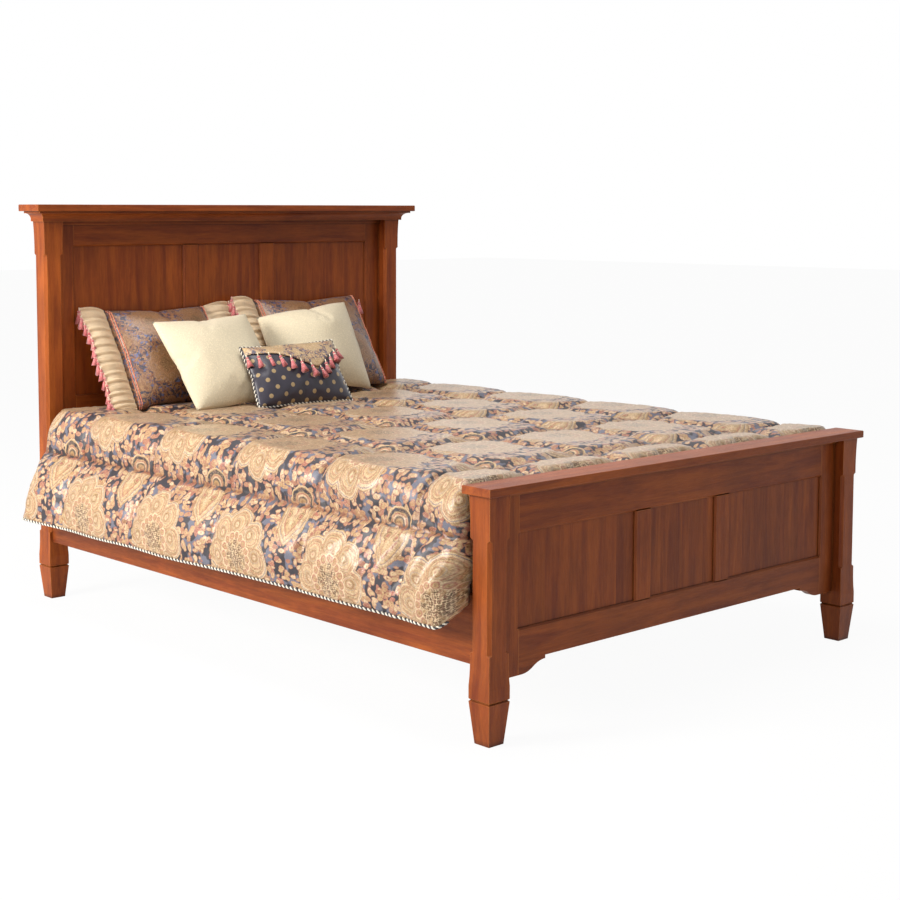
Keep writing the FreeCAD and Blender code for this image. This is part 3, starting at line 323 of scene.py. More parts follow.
def paint_shade_and_edge_highlight(paint, stain, cloud):
    """Painted shade in the corners and recesses, and a painted highlight along the edges."""
    wood = settings("timber")
    # painted shade: darker where ambient occlusion finds surfaces within 2 cm, in corners and
    # between parts
    corner = paint.add("AmbientOcclusion", {"Distance": 0.02}, samples=6).outputs["AO"]
    dark = paint.times(paint.span(corner, 0.5, 0.85, 0.75, 0.0),
                       paint.span(cloud, 0.3, 0.6, 0.7, 1.0))
    stain = paint.blend(dark, stain, fixed(wood.painted_corner_shade))
    # painted highlight: lighter where the rounded-off normal turns away from the flat one, on
    # convex edges
    round_off = paint.add("Bevel", {"Radius": 0.0022}, samples=6).outputs[0]
    flat = paint.add("NewGeometry").outputs["Normal"]
    turn = paint.add("VectorMath", {0: round_off, 1: flat},
                     operation="DOT_PRODUCT").outputs["Value"]
    painted_highlight_mask = paint.times(paint.span(turn, 0.99, 0.85, 0.0, 0.8),
                       paint.span(cloud, 0.35, 0.6, 0.3, 1.0))
    return paint.blend(painted_highlight_mask, stain, fixed(wood.painted_edge_highlight))


def folded(paint, across, along, share):
    """Coordinates folded into one of share equal sectors about the middle."""
    radius = paint.calc("SQRT", paint.plus(paint.times(across, across),
                                           paint.times(along, along)))
    turn = paint.calc("ARCTAN2", along, across)
    sector = 2 * math.pi / share
    spot = paint.plus(paint.over(turn, sector), 0.5)
    bent = paint.times(paint.minus(paint.calc("FRACT", spot), 0.5), sector)
    return (radius, paint.times(radius, paint.calc("COSINE", bent)),
            paint.times(radius, paint.calc("SINE", bent)))


THREADS = ("ground", "slate", "gold", "straw", "pale", "rose")


def threads_of(*codes):
    """The colours of a damask's threads by their names."""
    return {key: linear(code) for key, code in zip(THREADS, codes)}


def away(paint, x, y, at_x, at_y=0.0):
    """Distance from a point of the pattern."""
    dx = paint.minus(x, at_x)
    dy = paint.minus(y, at_y)
    return paint.calc("SQRT", paint.plus(paint.times(dx, dx), paint.times(dy, dy)))


def wrapped(paint, value, pitch, offset=0.0):
    """Signed distance to the middle of the nearest repeat."""
    turns = paint.plus(paint.over(value, pitch), 0.5 + offset)
    return paint.times(paint.minus(paint.calc("FRACT", turns), 0.5), pitch)


def inside(paint, value, limit, soft=0.0012):
    """1 where a distance is under a limit, with a soft edge."""
    return paint.span(value, limit - soft, limit + soft, 1.0, 0.0)


def leaves(paint, vector, stretch, scale, threads):
    """Small round leaves on a dark ground: their colour and their mask."""
    cells = paint.cells(paint.mapped(vector, stretch), scale)
    pale, straw, rose, gold = (threads[key] for key in ("pale", "straw", "rose", "gold"))
    leaf = paint.ramp(cells.outputs["Color"], ((0.2, straw), (0.4, pale), (0.6, straw),
                                               (0.8, rose), (0.95, gold)))
    far = cells.outputs["Distance"]
    leaf = paint.blend(inside(paint, far, 0.13, 0.05), leaf, rose)
    leaf = paint.blend(paint.span(far, 0.36, 0.44, 0.0, 0.85), leaf, rose)
    return leaf, inside(paint, far, 0.47, 0.03)


def filigree(paint, vector, scale):
    """Thin curling lines, a few millimetres apart, as a mask."""
    field = paint.noise(vector, scale, 2, 0.5, 1.6)
    turns = paint.calc("FRACT", paint.times(field, 9))
    line = paint.calc("ABSOLUTE", paint.minus(turns, 0.5))
    return paint.span(line, 0.1, 0.2, 1.0, 0.0)


def damask(paint, along, across, tile, threads, warp=0.004):
    """A traditional damask: scalloped medallions and shields on a leafy ground.

    tile is the repeat along and across; threads names the colours.  It returns the
    colour and a mask of the raised, glossy threads.
    """
    size = tile[0] / 0.41
    vector = paint.join(along, across)
    for scale, reach in ((16, warp), (75, warp * 0.3)):
        ways = []
        for start in (0, 7):
            drift = paint.noise(paint.mapped(vector, shift=(start, 3, 0)), scale / size, 2)
            ways.append(paint.times(paint.minus(drift, 0.5), 4 * reach))
        along = paint.plus(along, ways[0])
        across = paint.plus(across, ways[1])
    x = wrapped(paint, along, tile[0], 0.5)
    y = wrapped(paint, across, tile[1], 0.5)
    ground, slate, gold, straw, pale, rose = (threads[key] for key in THREADS)
    shadow = tuple(0.4 * c for c in gold)
    olive = tuple(0.55 * c for c in gold)
    mist = tuple(0.5 * (a + b) for a, b in zip(slate, pale))
    mottle = paint.noise(vector, 110 / size, 3, 0.7, 0.8)
    mottled = paint.ramp(mottle, ((0.38, gold), (0.5, straw), (0.62, pale)))

    # two layers of leaves that point different ways, with patches of slate between
    swirl = paint.join(along, across)
    one, one_mask = leaves(paint, swirl, (1, 0.62, 1), 58 / size, threads)
    two, two_mask = leaves(paint, swirl, (0.6, 1, 1), 66 / size, threads)
    patches = paint.noise(vector, 24 / size, 2)
    cloth = paint.blend(paint.span(patches, 0.52, 0.56), ground, slate)
    cloth = paint.blend(one_mask, cloth, one)
    cloth = paint.blend(two_mask, cloth, two)
    leaf_mask = paint.calc("MAXIMUM", one_mask, two_mask)

    # shields hang from the seam crossings, with a small arch above each
    sx = wrapped(paint, along, tile[0])
    sy = wrapped(paint, across, tile[1])
    drop = paint.over(paint.minus(sy, 0.006 * size), 0.115 * size)
    edge = paint.plus(paint.over(paint.calc("ABSOLUTE", sx), 0.06 * size),
                      paint.calc("POWER", paint.calc("MAXIMUM", drop, 0.0), 2.2))
    below = paint.span(drop, 0.0, 0.03)
    shield = paint.ramp(edge, ((0.0, rose), (0.1, pale), (0.42, straw), (0.5, rose),
                               (0.55, pale), (0.72, straw), (0.76, slate), (0.8, pale),
                               (0.94, straw), (1.0, shadow)))
    shield = paint.blend(paint.span(mottle, 0.5, 0.56, 0.0, 0.45), shield, gold)
    eye = away(paint, paint.calc("ABSOLUTE", sx), sy, 0.021 * size, 0.03 * size)
    for reach, shade in ((0.0105, shadow), (0.0085, straw), (0.005, rose)):
        shield = paint.blend(inside(paint, eye, reach * size), shield, shade)
    shield_mask = paint.times(below, inside(paint, edge, 1.0, 0.02))
    cloth = paint.blend(shield_mask, cloth, shield)
    arch = away(paint, sx, sy, 0.0, -0.006 * size)
    arch_tone = paint.ramp(paint.over(arch, 0.046 * size),
                           ((0.0, gold), (0.2, straw), (0.34, ground), (0.44, pale),
                            (0.54, rose), (0.62, straw), (0.7, ground), (0.86, ground),
                            (0.92, straw), (1.0, pale)))
    above = paint.times(inside(paint, arch, 0.046 * size),
                        paint.span(sy, -0.004 * size, -0.006 * size))
    cloth = paint.blend(above, cloth, arch_tone)

    # the medallion: a ring of eight lobes, each a nest of fine lines
    radius, fx, fy = folded(paint, x, y, 8)
    lobe = paint.over(away(paint, fx, fy, 0.094 * size), 0.05 * size)
    lines = paint.ramp(lobe, ((0.0, gold), (0.2, straw), (0.42, pale), (0.48, rose),
                              (0.52, straw), (0.58, pale), (0.63, olive), (0.68, straw),
                              (0.73, rose), (0.77, pale), (0.83, pale), (0.88, slate),
                              (0.92, pale), (0.96, straw), (1.0, shadow)))
    curl = paint.over(away(paint, fx, fy, 0.09 * size, 0.008 * size), 0.02 * size)
    curl_tone = paint.ramp(curl, ((0.0, rose), (0.25, pale), (0.55, gold), (0.75, straw),
                                  (0.9, mist), (1.0, straw)))
    lobe_mask = inside(paint, lobe, 1.0, 0.02)
    disc = inside(paint, radius, 0.095 * size)
    cloth = paint.blend(disc, cloth, mottled)
    cloth = paint.blend(lobe_mask, cloth, lines)
    soft = paint.times(inside(paint, lobe, 0.84, 0.05), 0.35)
    cloth = paint.blend(soft, cloth, mottled)
    cloth = paint.blend(inside(paint, curl, 1.0, 0.04), cloth, curl_tone)

    # and at its middle a rosette of small petals round a speckled heart
    gx, gy = folded(paint, x, y, 16)[1:]
    petal = paint.over(away(paint, gx, gy, 0.057 * size), 0.0155 * size)
    petals = paint.ramp(petal, ((0.0, gold), (0.3, straw), (0.55, rose), (0.7, pale),
                                (0.9, pale), (1.0, gold)))
    cloth = paint.blend(inside(paint, radius, 0.062 * size), cloth, straw)
    cloth = paint.blend(inside(paint, petal, 1.0, 0.03), cloth, petals)
    star = paint.times(inside(paint, paint.calc("ABSOLUTE", fy), 0.010 * size,
                              0.004), inside(paint, radius, 0.047 * size, 0.003))
    checks = paint.cells(vector, 170 / size, randomness=0.5).outputs["Distance"]
    specks = paint.blend(paint.span(checks, 0.5, 0.6), shadow, pale)
    cloth = paint.blend(inside(paint, radius, 0.046 * size, 0.003), cloth, mottled)
    cloth = paint.blend(star, cloth, specks)
    raised = paint.calc("MAXIMUM", paint.calc("MAXIMUM", lobe_mask, disc),
                        paint.calc("MAXIMUM", shield_mask, leaf_mask))
    for scale, strength, tone in ((30, 0.42, olive), (46, 0.35, pale), (24, 0.3, rose)):
        lines = paint.times(filigree(paint, paint.mapped(vector, shift=(
            scale, 1, 0)), scale / size), strength)
        cloth = paint.blend(paint.times(lines, raised), cloth, tone)
    return cloth, raised, vector


def satin(name, seam_shift, threads, tile, mirrored=False, seam_shade_strength=0.0, warp=0.004):
    """Damask satin read from the piece's own map, in metres, with painted shade towards the
    seams where asked.
    """
    paint = Paint(name)
    flat = paint.split(paint.coords("UV"))
    along = paint.minus(flat["X"], seam_shift[0])
    across = paint.calc("ABSOLUTE", flat["Y"]) if mirrored else flat["Y"]
    across = paint.minus(across, seam_shift[1])
    cloth, raised, vector = damask(paint, along, across, tile, threads, warp)
    fine = paint.noise(vector, 300, 2, 0.7)
    cloth = paint.shade(cloth, paint.span(fine, 0.3, 0.7, 0.78, 1.12))
    # painted shade: the cloth darkens to a warm brown towards the seams, where the filling
    # sinks
    if seam_shade_strength:
        hollow = paint.add("Attribute", attribute_name="hollow").outputs["Fac"]
        seam_shade_tint = paint.blend(1.0, cloth, linear("B98852"), "MULTIPLY")
        cloth = paint.blend(paint.times(hollow, seam_shade_strength), cloth, seam_shade_tint)
    ribs = paint.add("TexWave", {"Vector": vector, "Scale": 420.0, "Distortion": 0.6},
                     bands_direction="DIAGONAL").outputs["Fac"]
    height = paint.plus(paint.times(ribs, 0.25),
                        paint.plus(paint.times(raised, 0.6),
                                   paint.times(fine, 0.5)))
    shine = paint.span(raised, 0.0, 1.0, 0.42, 0.3)
    return paint.finish(cloth, shine, paint.rough(height, 0.0005, 0.6),
                        Specular_IOR_Level=0.5, Sheen_Weight=0.05, Sheen_Roughness=0.4)


def woven(name, shade, scale=900.0, rough=0.85, depth=0.0004, sheen=0.25, speck=0.1,
          speck_scale=160.0):
    """Plain cloth: a fine weave, slight flecks and a soft sheen."""
    paint = Paint(name)
    place = paint.coords()
    weave = paint.noise(place, scale, 2, 0.6)
    fleck = paint.noise(place, speck_scale, 3, 0.6)
    grey = paint.times(paint.span(weave, 0.3, 0.7, 0.93, 1.05),
                       paint.span(fleck, 0.35, 0.65, 1 - speck, 1 + speck * 0.5))
    height = paint.plus(weave, fleck)
    return paint.finish(paint.shade(shade_socket(paint, shade), grey), rough,
                        paint.rough(height, depth, 0.8), Sheen_Weight=sheen)


def shade_socket(paint, shade):
    """A fixed colour as a socket, to be varied by other nodes."""
    return paint.ramp(0.0, ((0.0, shade), (1.0, shade)))


def stamped_cloth(name, shade):
    """Cream cloth with a raised speckle, like a fine matelasse."""
    paint = Paint(name)
    place = paint.coords("UV")
    bubbles = paint.cells(place, 230, "SMOOTH_F1").outputs["Distance"]
    worms = paint.noise(place, 130, 3, 0.7, 1.2)
    raised = paint.times(paint.span(bubbles, 0.1, 0.6, 1.0, 0.0),
                         paint.span(worms, 0.4, 0.6))
    weave = paint.noise(place, 1100, 1)
    grey = paint.times(paint.span(raised, 0.0, 1.0, 0.9, 1.06),
                       paint.span(weave, 0.3, 0.7, 0.96, 1.03))
    tint = paint.blend(raised, tuple(0.93 * c for c in shade), shade)
    height = paint.plus(raised, paint.times(weave, 0.15))
    return paint.finish(paint.shade(tint, grey), 0.6, paint.rough(height, 0.0012, 0.8),
                        Sheen_Weight=0.2, Specular_IOR_Level=0.4)


def spotted_satin(name, night, gold):
    """Dark satin with a diamond lattice of small woven spots."""
    paint = Paint(name)
    flat = paint.split(paint.coords("UV"))
    pitch = 0.060
    diagonal = paint.plus(flat["X"], flat["Y"])
    other = paint.minus(flat["X"], flat["Y"])
    spot = away(paint, wrapped(paint, diagonal, pitch), wrapped(paint, other, pitch), 0.0)
    vector = paint.join(flat["X"], flat["Y"])
    fray = paint.noise(vector, 500, 2, 0.7)
    spot = paint.plus(spot, paint.times(fray, 0.003))
    mask = inside(paint, spot, 0.0130, 0.001)
    cloud = paint.noise(vector, 22, 3)
    dark = paint.shade(shade_socket(paint, night), paint.span(cloud, 0.3, 0.7, 0.75, 1.25))
    tint = paint.blend(mask, dark, gold)
    height = paint.plus(paint.times(mask, 0.6), paint.times(fray, 0.4))
    return paint.finish(tint, 0.33, paint.rough(height, 0.0006, 0.6),
                        Specular_IOR_Level=0.45, Sheen_Weight=0.08)


def yarn(name, shade, other=None, streak=(420, 420, 18)):
    """Twisted or hanging yarn, with streaks of a second colour."""
    paint = Paint(name)
    place = paint.mapped(paint.coords(), streak)
    strands = paint.noise(place, 1.0, 2, 0.6)
    tint = paint.ramp(strands, ((0.42, shade), (0.56, other or shade)))
    fuzz = paint.noise(paint.coords(), 1500, 1)
    return paint.finish(paint.shade(tint, paint.span(fuzz, 0.3, 0.7, 0.8, 1.12)), 0.6,
                        paint.rough(strands, 0.0008, 0.6), Sheen_Weight=0.3)


def steel(name):
    paint = Paint(name)
    place = paint.coords()
    spangle = paint.cells(place, 240).outputs["Distance"]
    scratch = paint.noise(paint.mapped(place, (300, 300, 20)), 1.0, 3, 0.7)
    tint = paint.ramp(spangle, ((0.0, linear("9B9C98")), (1.0, linear("C9C9C2"))))
    return paint.finish(tint, paint.span(scratch, 0.3, 0.7, 0.28, 0.42),
                        paint.rough(scratch, 0.0001, 0.4), Metallic=1.0)


def moulded(name, shade):
    """Textured black plastic of the levellers."""
    paint = Paint(name)
    grain = paint.noise(paint.coords(), 900, 2)
    tint = paint.shade(shade_socket(paint, shade), paint.span(grain, 0.3, 0.7, 0.9, 1.15))
    return paint.finish(tint, 0.5, paint.rough(grain, 0.0002, 0.5))


# ------------------------------------------------------------------------- meshes

def settings(name):
    return getattr(bpy.context.scene, "panel_bed_" + name)


def piece_of(name, mesh, materials):
    """A new smooth object from a bmesh or a mesh, with its materials."""
    if isinstance(mesh, bmesh.types.BMesh):
        data = bpy.data.meshes.new(name)
        mesh.to_mesh(data)
        mesh.free()
    else:
        data = mesh
    for material in materials:
        data.materials.append(material)
    data.shade_smooth()
    piece = bpy.data.objects.new(name, data)
    bpy.context.scene.collection.objects.link(piece)
    return piece


def tree_of(name):
    """The faces of a piece as shown, for finding points on it."""
    bpy.context.view_layer.update()
    return BVHTree.FromObject(bpy.data.objects[name], bpy.context.evaluated_depsgraph_get())


def freeze(piece):
    """Put a piece's modifiers into its mesh."""
    bpy.context.view_layer.update()
    shown = piece.evaluated_get(bpy.context.evaluated_depsgraph_get())
    data = bpy.data.meshes.new_from_object(shown)
    data.shade_smooth()
    piece.modifiers.clear()
    old, piece.data = piece.data, data
    bpy.data.meshes.remove(old)


def inflate(piece, frames, pressure, held=None, looseness=0.0, stiffness=15.0):
    """Blow a cover up like a filled pillow and keep the shape that it takes."""
    cloth = piece.modifiers.new("filling", "CLOTH")
    cloth.settings.quality = 4
    cloth.settings.mass = 0.3
    cloth.settings.tension_stiffness = stiffness
    cloth.settings.compression_stiffness = stiffness
    cloth.settings.shear_stiffness = 5
    cloth.settings.bending_stiffness = 0.4
    cloth.settings.shrink_min = looseness
    cloth.settings.use_pressure = True
    cloth.settings.uniform_pressure_force = pressure
    cloth.settings.effector_weights.gravity = 0
    cloth.collision_settings.use_collision = False
    cloth.point_cache.frame_end = frames
    if held:
        cloth.settings.vertex_group_mass = held
    scene = bpy.context.scene
    for number in range(1, frames + 1):
        scene.frame_set(number)
    freeze(piece)
    scene.frame_set(1)


def mesh_of(name, curve):
    """A curve turned into a mesh."""
    bare = bpy.data.objects.new(name, curve)
    mesh = bpy.data.meshes.new_from_object(bare)
    bpy.data.objects.remove(bare)
    return mesh


def smooth_line(points, count):
    """Even points along a smooth curve through rough ones."""
    curve = bpy.data.curves.new("line", "CURVE")
    curve.dimensions = "3D"
    spline = curve.splines.new("NURBS")
    spline.points.add(len(points) - 1)
    for spot, point in zip(spline.points, points):
        spot.co = (*point, 1)
    spline.order_u = 3
    spline.use_endpoint_u = True
    curve.resolution_u = 8
    mesh = mesh_of("line", curve)
    line = [v.co.copy() for v in mesh.vertices]
    bpy.data.meshes.remove(mesh)
    return spaced(line, count)


def spaced(line, count):
    """count points evenly along a line."""
    run = [0.0]
    for a, b in zip(line, line[1:]):
        run.append(run[-1] + (b - a).length)
    places = []
    spot = 0
    for number in range(count):
        want = run[-1] * number / (count - 1)
        while spot < len(line) - 2 and run[spot + 1] < want:
            spot += 1
        step = max(run[spot + 1] - run[spot], 1e-9)
        places.append(line[spot].lerp(line[spot + 1], (want - run[spot]) / step))
    return places


def line_length(line):
    return sum((b - a).length for a, b in zip(line, line[1:]))


def striped_yarns(name):
    """The black and the white yarn of a striped cord."""
    return [yarn(name + "_black", linear("26232A")), yarn(name + "_white", linear("E9E2D2"))]


TURN_STEPS = 8      # points in one turn of a twisted cord
TWIST = {"hem": 0.0165, "braid": 0.011, "fringe": 0.012, "edge": 0.0155}   # pitch
STRAND = 0.27       # radius of a strand, as a share of the cord's diameter
STRAND_OUT = 0.25   # from the middle of the cord to that of a strand, in the same way


def twisted_cord(name, line, diameter, pitch, materials, closed=False):
    """Two strands wound round each other along a line, as one mesh."""
    turns = max(1, round(line_length(line) / pitch))
    steps = turns * TURN_STEPS
    points = spaced(line, steps + 1)
    if closed:
        points = points[:-1]
    curve = bpy.data.curves.new(name, "CURVE")
    curve.dimensions = "3D"
    curve.bevel_depth = diameter * STRAND
    curve.bevel_resolution = 1
    curve.use_fill_caps = not closed
    for material in materials:
        curve.materials.append(material)
    count = len(points)
    sides = []
    side = (points[1] - points[0]).orthogonal().normalized()
    for i, point in enumerate(points):
        ahead = points[(i + 1) % count] if closed else points[min(i + 1, count - 1)]
        behind = points[i - 1] if closed else points[max(i - 1, 0)]
        along = (ahead - behind).normalized()
        side = (side - along * side.dot(along)).normalized()
        sides.append((side, along.cross(side)))
    for strand in range(2):
        spline = curve.splines.new("POLY")
        spline.points.add(count - 1)
        spline.use_cyclic_u = closed
        spline.material_index = strand
        for i, point in enumerate(points):
            turn = 2 * math.pi * i / TURN_STEPS + math.pi * strand
            across, up = sides[i]
            out = (across * math.cos(turn) + up * math.sin(turn)) * diameter * STRAND_OUT
            spline.points[i].co = (*(point + out), 1)
    mesh = mesh_of(name, curve)
    mesh.name = name
    return piece_of(name, mesh, [])


def dress(piece, body, slot, *replaced):
    """Hang a piece on its body and hide the nodes that it stands for. The slot is not used.
    """
    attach(piece, body)
    if replaced:
        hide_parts(*replaced)
    return piece


def paint_node(name, material):
    """Give a CAD node its finish."""
    node = NODES[name]
    node.data.materials.clear()
    node.data.materials.append(material)


# -------------------------------------------------------------------------- stage

FLOOR_HALF = 30         # half the width of the floor
FLOOR_GLOW = 0.95       # how far the floor shows as plain white
LAMPS = (
    # name, place, aim, size, tint
    ("key", (-4.8, 0.9, 2.3), (0, 0, 0.5), 1.8, (1.0, 0.97, 0.93)),
    ("top", (-0.8, -0.3, 4.2), (-0.2, 0.2, 0.5), 2.4, (1.0, 0.99, 0.97)),
)


class PANEL_BED_OT_stage(bpy.types.Operator):
    """Set the floor, the soft lamps and the camera"""
    bl_idname = "panel_bed.stage"
    bl_label = "Stage"

    def execute(self, context):
        stage = settings("stage")
        bm = bmesh.new()
        bmesh.ops.create_grid(bm, x_segments=1, y_segments=1, size=FLOOR_HALF)
        paint = Paint("floor_paint")
        speck = paint.noise(paint.coords(), 40, 3)
        tint = paint.shade(shade_socket(paint, fixed(stage.floor)),
                           paint.span(speck, 0.3, 0.7, 0.99, 1.01))
        paint.finish(tint, 0.9, Specular_IOR_Level=0.1)
        rays = paint.add("LightPath").outputs
        seen = paint.calc("MAXIMUM", rays["Is Camera Ray"],
                          paint.calc("MAXIMUM", rays["Is Glossy Ray"],
                                     rays["Is Transmission Ray"]))
        glow = paint.add("Emission", {"Color": (1, 1, 1, 1), "Strength": 1.0})
        mixed = paint.add("MixShader", {0: paint.times(seen, FLOOR_GLOW)})
        paint.links.new(paint.shader.outputs[0], mixed.inputs[1])
        paint.links.new(glow.outputs[0], mixed.inputs[2])
        paint.links.new(mixed.outputs[0], paint.nodes["Material Output"].inputs[0])
        piece_of("floor", bm, [paint.material])
        self.light_world(context, stage)
        for name, at, aim, size, tint in LAMPS:
            self.hang_lamp(name + "_lamp", at, aim, size, getattr(stage, name), tint)
        camera = bpy.data.cameras.new("camera")
        camera.lens = stage.lens
        camera.shift_x, camera.shift_y = stage.shift
        camera.clip_end = 100
        holder = bpy.data.objects.new("camera", camera)
        holder.location = stage.at
        holder.rotation_euler = (math.pi / 2 - stage.dip, 0, -stage.turn)
        context.scene.collection.objects.link(holder)
        context.scene.camera = holder
        context.scene.view_settings.view_transform = "Standard"
        return {"FINISHED"}

    def light_world(self, context, stage):
        world = bpy.data.worlds.new("studio")
        context.scene.world = world
        world.use_nodes = True
        nodes, links = world.node_tree.nodes, world.node_tree.links
        sky = nodes["Background"]
        sky.inputs["Strength"].default_value = stage.sky
        sky.inputs["Color"].default_value = (1, 1, 1, 1)
        white = nodes.new("ShaderNodeBackground")
        white.inputs["Color"].default_value = (1, 1, 1, 1)
        rays = nodes.new("ShaderNodeLightPath").outputs
        seen = rays["Is Camera Ray"]
        for ray in ("Is Glossy Ray", "Is Transmission Ray"):
            either = nodes.new("ShaderNodeMath")
            either.operation = "MAXIMUM"
            links.new(seen, either.inputs[0])
            links.new(rays[ray], either.inputs[1])
            seen = either.outputs[0]
        mixed = nodes.new("ShaderNodeMixShader")
        links.new(seen, mixed.inputs[0])
        links.new(sky.outputs[0], mixed.inputs[1])
        links.new(white.outputs[0], mixed.inputs[2])
        links.new(mixed.outputs[0], nodes["World Output"].inputs[0])

    def hang_lamp(self, name, at, aim, size, power, tint):
        lamp = bpy.data.lights.new(name, "AREA")
        lamp.shape = "DISK"
        lamp.size = size
        lamp.energy = power
        lamp.color = tint
        holder = bpy.data.objects.new(name, lamp)
        holder.location = at
        way = Vector(aim) - Vector(at)
        holder.rotation_euler = way.to_track_quat("-Z", "Y").to_euler()
        bpy.context.scene.collection.objects.link(holder)


# ------------------------------------------------------------------------- timber

FRAME_GRAIN = (
    # part of a node's name, grain, tone, slot
    ("_post_", "z", 1.0, "frame_wood"),
    ("_stile_", "z", 0.92, "frame_wood"),
    ("_mullion_", "z", 0.94, "frame_wood"),
    ("_rail", "x", 0.9, "frame_wood"),
    ("_crown_return", "y", 0.95, "frame_wood"),
    ("_crown_", "x", 0.92, "frame_wood"),
    ("_strip", "x", 0.95, "frame_wood"),
    ("_cap", "x", 1.0, "frame_wood"),
)


PLAIN_GRAIN = (("slat_", "x"), ("ledger_", "y"), ("centre_beam", "y"), ("centre_leg", "z"))


class PANEL_BED_OT_timber(bpy.types.Operator):
    """Stain and lacquer the headboard, footboard and rails, and leave the slats plain"""
    bl_idname = "panel_bed.timber"
    bl_label = "Timber"

    def execute(self, context):
        wood = settings("timber")
        dark, light = fixed(wood.dark), fixed(wood.light)
        for seed, name in enumerate(sorted(NODES)):
            if name.startswith("side_rail"):
                material = timber(name + "_wood", "y", seed, dark, light, 0.88,
                                  gloss=wood.gloss)
                paint_node(name, material)
            elif "_panel_" in name:
                material = timber(name + "_wood", "z", seed, dark, light, 0.9, wood.board,
                                  wood.gloss)
                paint_node(name, material)
            elif name.startswith(("headboard", "footboard")):
                axis, tone, slot = next(row[1:] for row in FRAME_GRAIN if row[0] in name)
                material = timber(name + "_wood", axis, seed, dark, light, tone,
                                  gloss=wood.gloss)
                paint_node(name, material)
        plain = fixed(wood.plain_dark), fixed(wood.plain_light)
        for name in sorted(NODES):
            axis = next((a for k, a in PLAIN_GRAIN if name.startswith(k)), None)
            if axis and not name.endswith("screws"):
                seed = sum(ord(letter) for letter in name) % 40
                material = timber(name + "_wood", axis, seed, *plain, gloss=0.6, coat=0.0)
                paint_node(name, material)
        pin = timber("dowel_wood", "x", 3, *plain, gloss=0.65, coat=0.0)
        for name in ("frame_dowels", "cap_dowels"):
            paint_node(name, pin)
        return {"FINISHED"}


class PANEL_BED_OT_hardware(bpy.types.Operator):
    """Finish the rail fasteners, the screws and the levellers"""
    bl_idname = "panel_bed.hardware"
    bl_label = "Hardware"

    def execute(self, context):
        zinc = steel("zinc_plate")
        for name in ("rail_hook_plates", "post_slot_plates", "plate_screws",
                     "ledger_screws", "slat_screws"):
            paint_node(name, zinc)
        paint_node("leg_levellers", moulded("black_plastic", linear("232426")))
        return {"FINISHED"}


# ------------------------------------------------------- mattress and box spring

def rounded_block(low, high, corner, edge):
    """A block with round upright corners and softened top and bottom edges."""
    bm = bmesh.new()
    bmesh.ops.create_cube(bm, size=1, calc_uvs=True)
    for v in bm.verts:
        v.co = Vector(lo + (c + 0.5) * (hi - lo) for c, lo, hi in zip(v.co, low, high))
    upright = [e for e in bm.edges if abs(e.verts[0].co.z - e.verts[1].co.z) > 0.01]
    bmesh.ops.bevel(bm, geom=upright, offset=corner, segments=8, profile=0.5,
                    affect="EDGES", material=-1)
    level = [e for e in bm.edges if abs(e.verts[0].co.z - e.verts[1].co.z) < 1e-5
             and len({round(f.normal.z, 3) for f in e.link_faces}) > 1]
    bmesh.ops.bevel(bm, geom=level, offset=edge, segments=4, profile=0.5, affect="EDGES",
                    material=-1)
    return bm


def rounded_loop(low, high, corner, up, count):
    """Points round a rectangle with round corners, at one height."""
    points = []
    for sx, sy in ((1, 1), (-1, 1), (-1, -1), (1, -1)):
        start = {(1, 1): 0, (-1, 1): 90, (-1, -1): 180, (1, -1): 270}[sx, sy]
        middle = Vector((high[0] - corner if sx > 0 else low[0] + corner,
                         high[1] - corner if sy > 0 else low[1] + corner, up))
        for step in range(9):
            turn = math.radians(start + step * 90 / 8)
            points.append(middle + Vector((math.cos(turn), math.sin(turn), 0)) * corner)
    return spaced(points + points[:1], count)


def tape(name, low, high, corner, up, depth, material):
    """The bound edge of a mattress: a closed roll round it."""
    curve = bpy.data.curves.new(name, "CURVE")
    curve.dimensions = "3D"
    curve.bevel_depth = depth
    curve.bevel_resolution = 2
    spline = curve.splines.new("POLY")
    points = rounded_loop(low, high, corner, up, 180)[:-1]
    spline.points.add(len(points) - 1)
    spline.use_cyclic_u = True
    for spot, point in zip(spline.points, points):
        spot.co = (*point, 1)
    mesh = mesh_of(name, curve)
    mesh.materials.clear()
    return piece_of(name, mesh, [material])


CORNER = 0.06       # plan radius of mattress and box spring
EDGE = 0.016        # softened top and bottom edges
TAPE = 0.0035       # radius of the tape on their edges
TAPE_IN = 0.012     # from the top or bottom to the middle of the tape
STRIPE = 0.012      # pitch of the ticking's stripes
DIAMOND = 0.09      # pitch of the sewn diamonds


def ticking(name, pale, line):
    """Striped ticking on the border, quilted in diamonds on top."""
    paint = Paint(name)
    place = paint.coords()
    parts = paint.split(place)
    around = paint.plus(parts["X"], parts["Y"])
    stripe = paint.calc("ABSOLUTE", wrapped(paint, around, STRIPE))
    mask = inside(paint, stripe, 0.0012, 0.0004)
    weave = paint.noise(place, 900, 2)
    diamond = paint.calc("ABSOLUTE", wrapped(paint, around, DIAMOND))
    other = paint.minus(parts["X"], parts["Y"])
    cross = paint.calc("ABSOLUTE", wrapped(paint, other, DIAMOND))
    sewn = paint.calc("MINIMUM", diamond, cross)
    tint = paint.blend(mask, pale, line)
    height = paint.plus(paint.span(sewn, 0.0, 0.012), paint.times(weave, 0.15))
    return paint.finish(paint.shade(tint, paint.span(weave, 0.3, 0.7, 0.94, 1.04)), 0.8,
                        paint.rough(height, 0.003, 0.6), Sheen_Weight=0.15)


